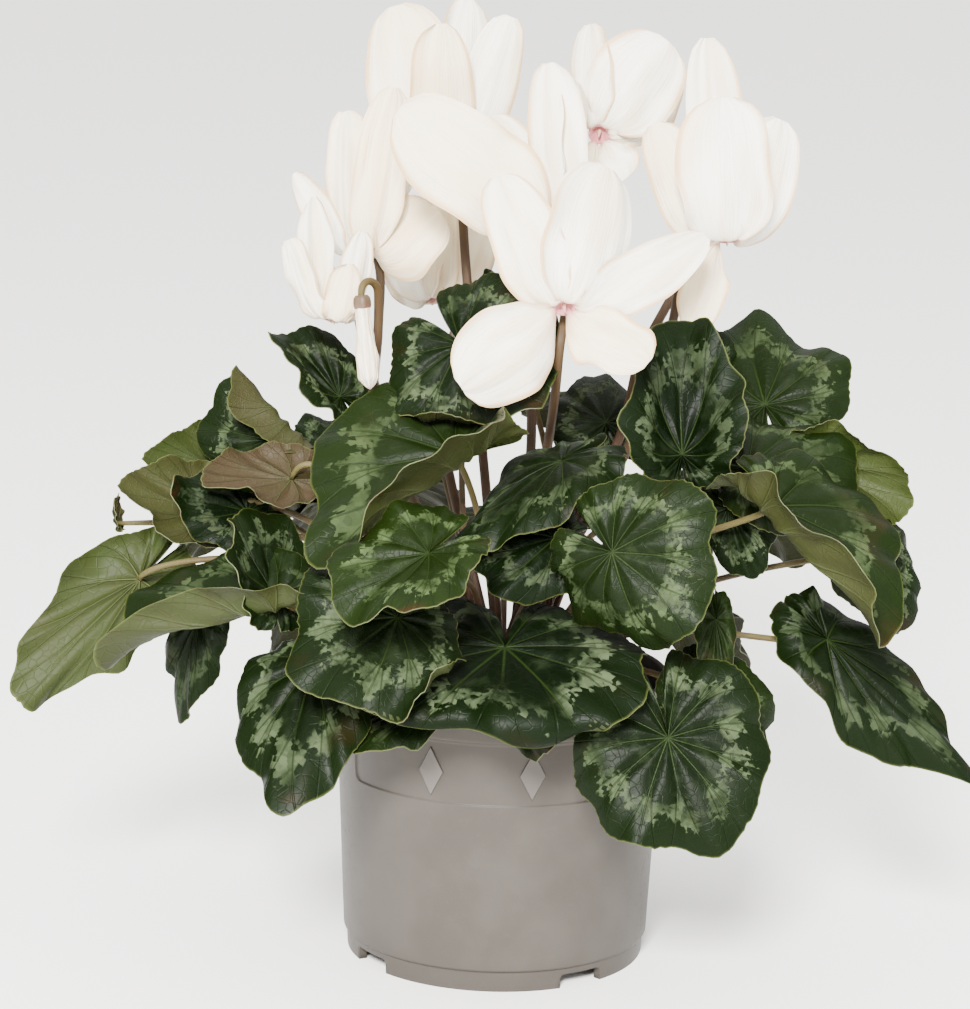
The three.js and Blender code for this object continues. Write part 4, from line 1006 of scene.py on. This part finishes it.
# Short sepals on the back of the throat
def addSepals(pile, flower, own):
    mouth, axis, length = flower["mouth"], flower["axis"], throatForm["length"]
    right, up = flowerPlane(axis)
    turns, count = throatForm["sepalTurns"], throatForm["sepalSteps"]
    steps = np.linspace(0, 1, count)
    places = steps * throatForm["sepalLength"] - length
    radii = np.interp(places, [-length, -length + 0.9, -6, -3], [1.9, 3.0, 3.7, 4.2])
    halves = 1.9 * (1 - steps**1.7) * (0.8 + 0.5 * np.sin(math.pi * steps)) + 0.05
    for k in range(throatForm["sepals"]):
        out = turned(np.array(fullTurn * (k + 0.5) / throatForm["sepals"] + own), right, up)
        aside = np.cross(axis, out)
        outer = []
        for place, radius, half in zip(places, radii, halves):
            bends = np.array(turns) * half / radius
            outer.append(mouth + axis * (place - 0.1) + (radius + 0.15) * turned(bends, out, aside))
        outer = np.concatenate(outer)
        inner = outer - (outer - (mouth + axis * -5)) * 0.06
        polar = gridNotes(np.array(turns), steps[:, None], own + k)
        pile.add(outer, gridFaces(count, len(turns)), 1, polar)
        pile.add(inner, gridFaces(count, len(turns), flip=True), 1, polar)


def addThroat(pile, flower, own):
    mouth, axis = flower["mouth"], flower["axis"]
    length, radius = throatForm["length"], throatForm["radius"]
    profile = [
        (0.05, -length), (1.7, -length + 0.1), (2.7, -length + 0.9), (3.4, -6.0), (3.9, -3.0),
        (radius, -0.6), (radius - 0.3, 0.0), (radius - 0.9, -0.5), (radius - 1.6, -2.6),
        (0.05, -3.0),
    ]
    points, faces, polar = turnedShape(profile, mouth, axis, throatForm["sides"], own=own)
    polar[:, 1] = 0.02  # as pink as the foot of a petal
    pile.add(points, faces, 0, polar, points)
    addSepals(pile, flower, own)
    # The style in the mouth
    steps = throatForm["styleSteps"]
    line = [mouth + axis * t for t in np.linspace(*throatForm["styleRun"], steps)]
    points, faces, polar = tube(line, np.linspace(*throatForm["styleRadii"], steps), 10)
    polar[:, 1] = 0.12
    pile.add(points, faces, 0, polar, points)


stemForm = {"radius": 1.7, "samples": 120, "sides": 14, "crook": 0.75, "seat": 0.3, "upright": 12}


# A stem climbs through its path and then bends over, to arrive along the axis of its flower.
def addStem(name, root, path, end, axis):
    stop = end + axis * stemForm["seat"]
    previous, last = vec(path[-2]), vec(path[-1])
    reach = stemForm["crook"] * float(np.linalg.norm(last - end))
    bend = [last, last + unit(last - previous) * reach, stop - axis * reach, stop]
    above = root + vec([0, 0, stemForm["upright"]])
    over = bezier(bend, np.linspace(0, 1, 10))
    line = throughPoints([root, above, *path[:-1], *over], stemForm["samples"])
    t = np.linspace(0, 1, len(line))
    radii = stemForm["radius"] * (1.12 - 0.3 * smooth(0.0, 0.8, t) - 0.12 * smooth(0.8, 1.0, t))
    points, faces, polar = tube(line, radii, stemForm["sides"], float(root[0]) * 0.3)
    stalk = Pile()
    stalk.add(points, faces, 0, polar)
    stalk.build("stem." + name, [stemMaterial], "stem", "stem_" + name)


stemMaterial = stalkMaterial("stem")
petalMaterials = [petalMaterial(), calyxMaterial()]
crownTop = crownForm["top"] + crownForm["clearance"]
for number, flower in enumerate(flowerTable):
    pile = Pile()
    for i, outward in enumerate(petalFeet(flower)):
        addPetal(pile, flower, *flower["petals"][i], outward, number * 1.7 + i * 0.61)
    addThroat(pile, flower, number * 0.9)
    pile.build("bloom." + flower["name"], petalMaterials, "petal", "bloom_" + flower["name"])
    root = onRing(crownForm["flowerRing"], math.radians(flower["root"]), crownTop)
    end = flower["mouth"] - flower["axis"] * throatForm["length"]
    addStem(flower["name"], root, flower["path"], end, flower["axis"])
print("flowers:", len(flowerTable))


# The closed bud: five petals wound round one another
budForm = {
    "top": (-55, -38, 260),
    "tip": (-51, -42, 226),
    "radius": 4.6,
    "path": [(-19, -19, 150), (-50, -26, 218), (-49, -27, 246), (-49, -30, 259)],
    "ridges": 5,
    "ridgeDepth": 0.1,
    "winding": 0.11,
    "places": [0, 0.04, 0.1, 0.25, 0.4, 0.68, 0.88, 0.97, 1],
    "widths": [0.3, 0.52, 0.6, 0.64, 0.72, 1, 0.88, 0.4, 0.02],
    "calyx": [(0.05, -0.3), (2.2, -0.2), (3.0, 0.8), (3.25, 2.4), (3.2, 3.8), (2.9, 4.6)],
}


def addBud(pile, top, toTip):
    axis, long = unit(toTip), float(np.linalg.norm(toTip))

    def wound(angles, far):
        turn = budForm["ridges"] * (angles + far * budForm["winding"])
        return 1 - budForm["ridgeDepth"] * np.abs(np.sin(turn / 2)) * min(1.0, far / long * 3)

    def pointed(angles, _):
        return 1 + 0.06 * np.cos(5 * angles)

    steps = np.linspace(0, 1, 44)
    widths = np.interp(steps, budForm["places"], budForm["widths"]) * budForm["radius"]
    points, faces, polar = turnedShape(list(zip(widths, steps * long)), top, axis, 50, wound)
    turn, along = polar[:, 0], polar[:, 1]
    polar = gridNotes(np.sin(turn * 5) * 0.6, 0.12 + along * 0.7, turn * 0.2)
    pile.add(points, faces, 0, polar, points)
    points, faces, polar = turnedShape(budForm["calyx"], top, axis, 40, pointed)
    pile.add(points, faces, 1, polar)


pile = Pile()
budTop = vec(budForm["top"])
toTip = vec(budForm["tip"]) - budTop
addBud(pile, budTop, toTip)
pile.build("bud.closed", petalMaterials, "petal", "bud")
addStem("bud", vec([0, 0, crownTop]), budForm["path"], budTop, unit(toTip))
print("bud")


# Pot, with its radii and heights from the foot ring to the rim
potForm = {
    "wall": 1.4,
    "groove": 8.6,
    "grooveRadius": 59.3,
    "band": 72.8,
    "bandRadius": 62.3,
    "underRim": 98.5,
    "underRimRadius": 63.5,
    "footRadius": 57.7,
    "footInner": 54.5,
    "floorLow": 6.0,
    "floorHigh": 7.6,
    "floorRadius": 57.8,
    "shadedGrooveHeight": 8.2,
    "columns": 180,
}
potProfile = {
    "groove": [(58.05, 7.2), (58.1, 7.7), (58.35, 8.0), (59.0, 8.25), (59.3, 8.6), (59.36, 9.1)],
    "wall": [14, 22, 32, 42, 52, 60, 66, 70, 72.4],
    "panel": [72.8, 73.3, 73.6, 73.85, 74.1, 74.4, 75, 75.8, 76.8, 78, 80, 83, 86, 89, 92, 93.8,
              95, 95.9, 96.6, 97.0, 97.3, 97.5, 97.75, 98.1],
    "rim": [(63.5, 98.45), (63.6, 98.65), (64.0, 98.8), (64.7, 98.85), (65.0, 99.15),
            (65.05, 100.0), (65.0, 104), (64.98, 108), (64.95, 109.8), (64.8, 110.5),
            (64.5, 110.9), (64.1, 111.0)],
    "rimInside": [(64.1, 111.0), (63.4, 110.95), (63.0, 110.6), (62.8, 110.0), (62.5, 104.0)],
    "inside": [98.5, 90, 60, 30, 7.6],
}
panelForm = {
    "count": 3,
    "width": 109,
    "middle": -96.3,
    "radius": 62.8,
    "depth": 0.55,
    "margin": 0.9,
    "corner": 4.0,
    "ease": 0.45,
    "sideSteps": (-0.3, 0.0, 0.25, 0.5, 0.8, 1.3, 2.0, 2.8, 3.6, 4.6),
}
diamondForm = {
    "spread": 17.7,
    "radius": 63.0,
    "halfWidth": 5.0,
    "halfHeight": 9.5,
    # Each layer's third number is a painted highlight on the diamond's top when below zero, and
    # painted shade on its sides when above zero
    "layers": [(0.95, 0.0, -1.0), (1.0, 0.14, 0.8), (1.0, 0.75, 0.8)],
    "steps": 10,
}
notchForm = {"count": 4, "first": -145, "halfWidth": 9.4, "height": 5.2, "corner": 2.0}
drainForm = {"radius": 47, "halfLength": 5, "halfWidth": 2.6}
potLook = {
    "plastic": (0.046, 0.04, 0.0345),
    "worn": (0.072, 0.0648, 0.057),
    "paintedHighlight": (0.11, 0.1, 0.09),
    # Grime on the plastic, also used as the colour of the painted shade
    "grimeAndShade": (0.024, 0.0192, 0.015),
    "depth": 0.00025,
    "gloss": 0.16,
}


# Polar holds the angle, the height, and how much painted shade a place has, or below zero how much
# painted highlight it has.
def potMaterial():
    graph = Graph("potPlastic")
    flat = graph.note("flat")
    angle, height, edge = graph.note("polar").parts()
    clouds = graph.noise(flat, 0.035, 3.0)
    rubbed = graph.noise(graph.vector(angle * 26.0, height * 0.35, clouds), 1.0, 3.0)
    dots = graph.noise(flat, 1.3, 2.0)
    grain = graph.noise(flat, 2.4, 4.0, 0.65)
    color = (clouds.rise(0.35, 0.7) * 0.35).blend(potLook["plastic"], potLook["worn"])
    color = (rubbed.rise(0.58, 0.75) * 0.16).blend(color, potLook["worn"])
    color = (dots.rise(0.66, 0.76) * 0.25).blend(color, potLook["grimeAndShade"])
    # Darker in patches towards the bottom
    lowerPatches = height.rise(14.0, 2.0) * clouds.rise(0.3, 0.6) * 0.3
    color = lowerPatches.blend(color, potLook["grimeAndShade"])
    # Painted shade in the groove near the foot, inside the pot, underneath it and on the diamonds'
    # sides
    color = (edge.most(0.0) * 0.45).blend(color, potLook["grimeAndShade"])
    # Painted highlight on the diamonds' tops, lighter than the plastic
    color = ((-edge).most(0.0) * 0.6).blend(color, potLook["paintedHighlight"])
    shine = 0.34 + clouds * 0.12 + rubbed.rise(0.5, 0.8) * 0.1 + grain * 0.06
    normal = graph.bump(grain * 0.5 + rubbed * 0.25, potLook["depth"], 0.35)
    return graph.surface(color, shine, {"Normal": normal, "Specular IOR Level": potLook["gloss"]})


def potWall(height):
    heights = [potForm["groove"], potForm["band"], potForm["underRim"]]
    radii = [potForm["grooveRadius"], potForm["bandRadius"], potForm["underRimRadius"]]
    return np.interp(height, heights, radii)


# How deep the wall lies inside a panel, which has round corners, at an angle and a height.
def panelDepth(angle, height):
    low = potForm["band"] + panelForm["margin"]
    high = potForm["underRim"] - panelForm["margin"]
    corner = panelForm["corner"]
    aside = fromMultiple(angle - math.radians(panelForm["middle"]), fullTurn / panelForm["count"])
    x = (aside - math.radians(panelForm["width"] / 2)) * potWall(height) + corner
    y = np.abs(height - (low + high) / 2) - (high - low) / 2 + corner
    outside = np.hypot(np.maximum(x, 0), np.maximum(y, 0)) + np.minimum(np.maximum(x, y), 0)
    return panelForm["depth"] * (1 - smooth(-panelForm["ease"], 0.0, outside - corner))


def panelMiddles():
    return [panelForm["middle"] + 360 / panelForm["count"] * k for k in range(panelForm["count"])]


def notchMiddles():
    turn = fullTurn / notchForm["count"]
    return [math.radians(notchForm["first"]) + turn * k for k in range(notchForm["count"])]


# The angles of the pot's columns, closer where a panel or a notch ends.
def potColumns():
    angles = list(np.linspace(-math.pi, math.pi, potForm["columns"], endpoint=False))
    for middle in panelMiddles():
        for side in (-1, 1):
            edge = math.radians(middle + side * panelForm["width"] / 2)
            angles += [edge - side * s / panelForm["radius"] for s in panelForm["sideSteps"]]
    wide, corner = notchForm["halfWidth"], notchForm["corner"]
    steps = [wide + 0.02, wide, wide - 0.25, wide - 0.7, wide - 1.3, wide - corner]
    for middle in notchMiddles():
        angles += [middle + side * s / potForm["footRadius"] for side in (-1, 1) for s in steps]
    return np.array(sorted((angle + math.pi) % fullTurn - math.pi for angle in angles))


# The lowest height of the foot ring at each angle, which rises over the notches.
def footEdge(angles):
    aside = fromMultiple(angles - math.radians(notchForm["first"]), fullTurn / notchForm["count"])
    aside = aside * potForm["footRadius"]
    wide, corner = notchForm["halfWidth"], notchForm["corner"]
    past = np.clip((aside - wide + corner) / corner, 0, 1)
    top = notchForm["height"] - corner + corner * np.sqrt(1 - past**2)
    return np.where(aside <= wide + 0.005, top, 0.0)


# Rows of points round the pot's axis, from pairs of a radius and a height. Either may be one
# number or one for each angle.
def ringRows(angles, rings):
    radii, heights = [
        np.stack([np.broadcast_to(value, angles.shape) for value in values])
        for values in zip(*rings)
    ]
    points = gridNotes(radii * np.cos(angles), radii * np.sin(angles), heights)
    return points, gridFaces(len(rings), len(angles), closed=True), gridNotes(angles, heights, 0.0)


def potOutside(angles):
    foot, radius = footEdge(angles), potForm["footRadius"]
    rings = [(radius, foot), (radius + 0.02, foot + 0.25)]
    for height in (2.5, 4.5, 5.9):
        rings.append((np.interp(height, [0, 7.4], [57.75, 58.05]), np.maximum(height, foot + 0.3)))
    rings += potProfile["groove"]
    rings += [(potWall(h), h) for h in potProfile["wall"]]
    rings += [(potWall(h) - panelDepth(angles, h), h) for h in potProfile["panel"]]
    return rings + potProfile["rim"]


def potInside():
    wall = potForm["wall"]
    return potProfile["rimInside"] + [(potWall(h) - wall, h) for h in potProfile["inside"]]


def potUnder(angles):
    foot, inner, outer = footEdge(angles), potForm["footInner"], potForm["footRadius"]
    low = potForm["floorLow"]
    walls = [(inner, low), (inner, np.minimum(foot + 0.2, low))]
    return walls + [(inner + 0.2, foot), (outer - 0.2, foot), (outer, foot)]


# A closed outline of a drain slot, from the middle of the pot at an angle.
def slotOutline(angle):
    outward = np.array([math.cos(angle), math.sin(angle)])
    aside = np.array([-outward[1], outward[0]])
    half = drainForm["halfWidth"]
    straight = drainForm["halfLength"] - half
    points = []
    for turn in ringAngles(24):
        x = math.cos(turn) * half + (straight if math.cos(turn) > 0 else -straight)
        y = math.sin(turn) * half
        points.append(outward * (drainForm["radius"] + y) + aside * x)
    return np.array(points)


# The floor's two faces, with the drain slots cut out of them, and the walls of the slots.
def addFloor(pile):
    low, high = potForm["floorLow"], potForm["floorHigh"]
    slots = [slotOutline(angle) for angle in notchMiddles()]
    around = ringAngles(96)
    circle = np.stack([np.cos(around), np.sin(around)], axis=1)
    for height, radius, up in ((low, potForm["footInner"], -1), (high, potForm["floorRadius"], 1)):
        work = bmesh.new()
        edges = []
        for loop in [radius * circle, *slots]:
            corners = [work.verts.new((x, y, height)) for x, y in loop]
            edges += [work.edges.new((corners[i - 1], corners[i])) for i in range(len(corners))]
        bmesh.ops.triangle_fill(work, use_beauty=True, edges=edges, normal=(0, 0, up))
        work.verts.index_update()
        points = np.array([list(corner.co) for corner in work.verts])
        faces = []
        for face in work.faces:
            corners = [corner.index for corner in face.verts]
            faces.append(corners if (face.normal.z > 0) == (up > 0) else corners[::-1])
        work.free()
        # The floor plates get a little painted shade
        pile.add(points, faces, 0, gridNotes(0.0, points[:, 2], 0.3), points)
    for loop in slots:
        rows = [np.column_stack([loop, np.full(len(loop), h)]) for h in (low, high)]
        points = np.concatenate(rows)
        pile.add(points, gridFaces(2, len(loop), closed=True, flip=True), 0, None, points)


def addDiamond(pile, middle):
    height = (potForm["band"] + potForm["underRim"]) / 2
    count = diamondForm["steps"]
    ways = np.linspace(-1, 1, count)
    a, b = np.meshgrid(ways, ways, indexing="ij")
    layers = []
    # edge holds painted shade, or below zero a painted highlight
    for shrink, sink, edge in diamondForm["layers"]:
        sideways = (a + b) / 2 * diamondForm["halfWidth"] * shrink
        up = height + (a - b) / 2 * diamondForm["halfHeight"] * shrink
        angle = middle + sideways / diamondForm["radius"]
        radius = potWall(up) - sink
        points = gridNotes(radius * np.cos(angle), radius * np.sin(angle), up)
        layers.append((points, gridNotes(angle, up, edge)))
    points, polar = layers[0]
    pile.add(points, gridFaces(count, count, flip=True), 0, polar, points)
    border = gridBorder(count, count)
    points, polar = [np.concatenate([layer[i][border] for layer in layers]) for i in (0, 1)]
    pile.add(points, gridFaces(3, len(border), closed=True, flip=True), 0, polar, points)


pile = Pile()
columns = potColumns()
outside = potOutside(columns)
# Painted shade: a little inside the pot and underneath it, more in the groove near the foot
for rings, paintedShadeShare in ((outside, 0.0), (potInside(), 0.15), (potUnder(columns), 0.25)):
    points, faces, polar = ringRows(columns, rings)
    if rings is outside:
        paintedShadeShare = np.where(np.abs(points[:, 2] - potForm["shadedGrooveHeight"]) < 0.6, 0.9, 0.0)
    polar[:, 2] = paintedShadeShare
    pile.add(points, faces, 0, polar, points)
addFloor(pile)
for middle in panelMiddles():
    for side in (-1, 1):
        addDiamond(pile, math.radians(middle + side * diamondForm["spread"]))
pile.build("pot.turned", [potMaterial()], "pot", "pot")
print("pot")


# Peat
peatForm = {
    "outer": 61.2,
    "level": 93.5,
    "bottom": 8.0,
    "bottomRadius": 57.4,
    "middleRadius": 0.3,
    "wallGap": 1.8,
    "sides": 140,
    "steps": 44,
    "crumbs": 700,
    "crumbInner": 24,
    "crumbSpread": 36.5,
    "crumbOuter": 60.3,
    "crumbLow": 0.5,
    "crumbHigh": 1.9,
    "goldenAngle": 2.39996,
}
peatLook = {
    "dark": (0.012, 0.008, 0.006),
    "brown": (0.045, 0.026, 0.015),
    "fibre": (0.13, 0.08, 0.045),
    "depth": 0.001,
}


def peatMaterial():
    graph = Graph("peat")
    flat = graph.note("flat")
    lumps = graph.noise(flat, 0.5, 5.0, 0.7)
    fibres = graph.noise(flat, 1.7, 3.0, 0.6)
    color = lumps.rise(0.35, 0.7).blend(peatLook["dark"], peatLook["brown"])
    color = (fibres.rise(0.62, 0.72) * 0.6).blend(color, peatLook["fibre"])
    normal = graph.bump(lumps + fibres * 0.6, peatLook["depth"], 1.0)
    return graph.surface(color, 0.92 - fibres * 0.08, {"Normal": normal})


def peatHeight(x, y):
    outer = peatForm["outer"]
    radius = np.hypot(x, y)
    base = np.interp(radius, [0, 27, 37, 55.2, outer], [96, 96, 96.8, 94.9, peatForm["level"]])
    rough = ripple(gridNotes(x, y, x * 0.3 - y * 0.4), 3.1, 2.0).reshape(np.shape(x))
    return base + 0.55 * rough * (1 - smooth(59, outer, radius))


# Crumbs and bits of bark, spread by the golden angle
def addCrumbs(pile):
    for k in range(peatForm["crumbs"]):
        share = (k + 0.5) / peatForm["crumbs"]
        radius = peatForm["crumbInner"] + peatForm["crumbSpread"] * math.sqrt(share)
        angle = k * peatForm["goldenAngle"]
        if radius > peatForm["crumbOuter"]:
            continue
        grain = (math.sin(k * 12.9898) * 43758.5453) % 1.0
        size = mix(peatForm["crumbLow"], peatForm["crumbHigh"], grain**2.5)
        x, y = radius * math.cos(angle), radius * math.sin(angle)
        z = float(peatHeight(np.array(x), np.array(y))) + size * 0.3
        turns = ringAngles(6) + grain * 6
        levels = np.array([-0.7, -0.1, 0.45])[:, None]
        wide = np.array([0.5, 1.0, 0.75])[:, None] * (1 + 0.3 * np.sin(turns * 2 + levels * 5 + k))
        sides = gridNotes(wide * np.cos(turns), 0.75 * wide * np.sin(turns), levels)
        lump = np.concatenate([sides, [[0.1, 0, 0.75]]]) * size + vec([x, y, z])
        faces = gridFaces(3, 6, closed=True) + [(12 + i, 12 + (i + 1) % 6, 18) for i in range(6)]
        pile.add(lump, faces, 0, None, lump + k)


def addPeat(pile):
    around = ringAngles(peatForm["sides"])
    middle = peatForm["middleRadius"]
    radii = np.linspace(middle, peatForm["outer"], peatForm["steps"])[:, None]
    x, y = radii * np.cos(around), radii * np.sin(around)
    top = gridNotes(x, y, peatHeight(x, y))
    pile.add(top, gridFaces(peatForm["steps"], peatForm["sides"], closed=True), 0, None, top)
    bottom = peatForm["bottom"]
    rings = [(peatForm["outer"], peatForm["level"]), (potWall(60) - peatForm["wallGap"], 60)]
    rings += [(peatForm["bottomRadius"], bottom), (middle, bottom)]
    points, faces, polar = ringRows(around, rings)
    pile.add(points, [face[::-1] for face in faces], 0, polar, points)
    addCrumbs(pile)


pile = Pile()
addPeat(pile)
pile.build("peat.surface", [peatMaterial()], "peat", "soil")


# Corm, from its middle underneath to its middle on top
cormForm = {
    "profile": [(0.4, 80), (12, 80.2), (18.9, 81), (23, 83.4), (26, 86.5), (27, 90), (26.8, 94),
                (25.2, 97.6), (23.2, 100), (21.4, 101.8), (19.4, 103.0), (17.5, 103.4), (12, 103.4),
                (6, 103.4), (0.4, 103.4)],
    "middle": (0, 0, 90),
    "sides": 110,
    "rows": 60,
    "bumps": 0.7,
}
cormLook = {
    "cork": (0.105, 0.062, 0.036),
    "pale": (0.21, 0.14, 0.085),
    "dark": (0.035, 0.02, 0.013),
    "depth": 0.0012,
}


def cormMaterial():
    graph = Graph("corm")
    flat = graph.note("flat")
    bark = graph.noise(flat, 0.22, 5.0, 0.65)
    cracks = graph.cells(flat, 0.45).rise(0.12, 0.0)
    color = bark.rise(0.35, 0.65).blend(cormLook["cork"], cormLook["pale"])
    color = (cracks * 0.7).blend(color, cormLook["dark"])
    normal = graph.bump(bark * 0.6 - cracks * 0.8, cormLook["depth"], 0.8)
    return graph.surface(color, 0.8 - bark * 0.1, {"Normal": normal})


def addCorm(pile):
    profile = vec(cormForm["profile"])
    run = runAlong(profile)
    steps = np.linspace(0, run[-1], cormForm["rows"])
    radii, levels = [np.interp(steps, run, profile[:, i]) for i in (0, 1)]
    points, faces, polar = ringRows(ringAngles(cormForm["sides"]), list(zip(radii, levels)))
    out = unitRows(points - vec(cormForm["middle"]))
    depth = cormForm["bumps"] * (ripple(points, 4.2, 1.0) * 0.6 - 0.9)
    depth = depth * (1 - smooth(102.4, 103.4, points[:, 2]))
    points = points + out * depth[:, None]
    pile.add(points, faces, 0, polar, points)


pile = Pile()
addCorm(pile)
pile.build("corm.crown", [cormMaterial()], "corm", "corm")
print("peat and corm")


# Floor, light and camera. The lens gives the photo's 3197 pixels a radian over its 1009 rows.
studio = {
    "floorSize": 60.0,
    "floor": (0.93, 0.925, 0.91),
    "floorShade": (0.91, 0.905, 0.89),
    "horizon": (0.3, 0.295, 0.29),
    "zenith": (3.4, 3.37, 3.3),
    "eye": (-7.8, -1200.0, 421.0),
    "pitch": 11.57,
    "roll": 1.41,
    "sensor": 36,
    "lens": 3197 / 1009 * 36,
    "farthest": 100,
    "lit": (0, 0, 0.18),
}
# Soft lights: where each one hangs, its size in metres, its power and its colour
lamps = {
    "key": {"place": (-0.3, -2.4, 1.5), "size": 0.6, "power": 400.0, "tint": (1.0, 0.985, 0.96)},
    "fill": {"place": (1.9, -1.5, 1.2), "size": 1.6, "power": 20.0, "tint": (0.97, 0.98, 1.0)},
}


def floorMaterial():
    graph = Graph("floor")
    grain = graph.noise(graph.note("flat"), 3.0)
    color = (grain * 0.4).blend(studio["floor"], studio["floorShade"])
    return graph.surface(color, 0.75 + grain * 0.1, {})


def addStudio():
    half = studio["floorSize"] / 2
    mesh = bpy.data.meshes.new("floor")
    corners = [(x * half, y * half, 0) for x, y in ((-1, -1), (1, -1), (1, 1), (-1, 1))]
    mesh.from_pydata(corners, [], [(0, 1, 2, 3)])
    layer = mesh.attributes.new("flat", "FLOAT_VECTOR", "POINT")
    layer.data.foreach_set("vector", [value for corner in corners for value in corner])
    mesh.materials.append(floorMaterial())
    floor = bpy.data.objects.new("floor", mesh)
    bpy.context.scene.collection.objects.link(floor)

    world = bpy.data.worlds.new("studio")
    bpy.context.scene.world = world
    graph = Graph("studio", world)
    height = graph.node("ShaderNodeTexCoord", {}, {}, "Generated").parts()[2]
    color = height.rise(0.0, 0.9).blend(studio["horizon"], studio["zenith"])
    sky = graph.node("ShaderNodeBackground", {}, {"Color": color})
    graph.node("ShaderNodeOutputWorld", {}, {"Surface": sky})


def addLamps():
    target = Vector(studio["lit"])
    for name, lamp in lamps.items():
        light = bpy.data.lights.new(name, "AREA")
        light.size = lamp["size"]
        light.energy = lamp["power"]
        light.color = lamp["tint"]
        holder = bpy.data.objects.new(name, light)
        holder.location = lamp["place"]
        way = target - Vector(lamp["place"])
        holder.rotation_euler = way.to_track_quat("-Z", "Y").to_euler()
        bpy.context.scene.collection.objects.link(holder)


def addCamera():
    camera = bpy.data.cameras.new("camera")
    camera.sensor_fit = "VERTICAL"
    camera.sensor_height = studio["sensor"]
    camera.lens = studio["lens"]
    camera.clip_end = studio["farthest"]
    holder = bpy.data.objects.new("camera", camera)
    place = (vec(studio["eye"]) + potCentre) / 1000
    tilt = Matrix.Rotation(math.radians(90 - studio["pitch"]), 4, "X")
    roll = Matrix.Rotation(math.radians(studio["roll"]), 4, "Z")
    holder.matrix_world = Matrix.Translation(place.tolist()) @ tilt @ roll
    bpy.context.scene.collection.objects.link(holder)
    bpy.context.scene.camera = holder


addStudio()
addLamps()
addCamera()
print("studio")
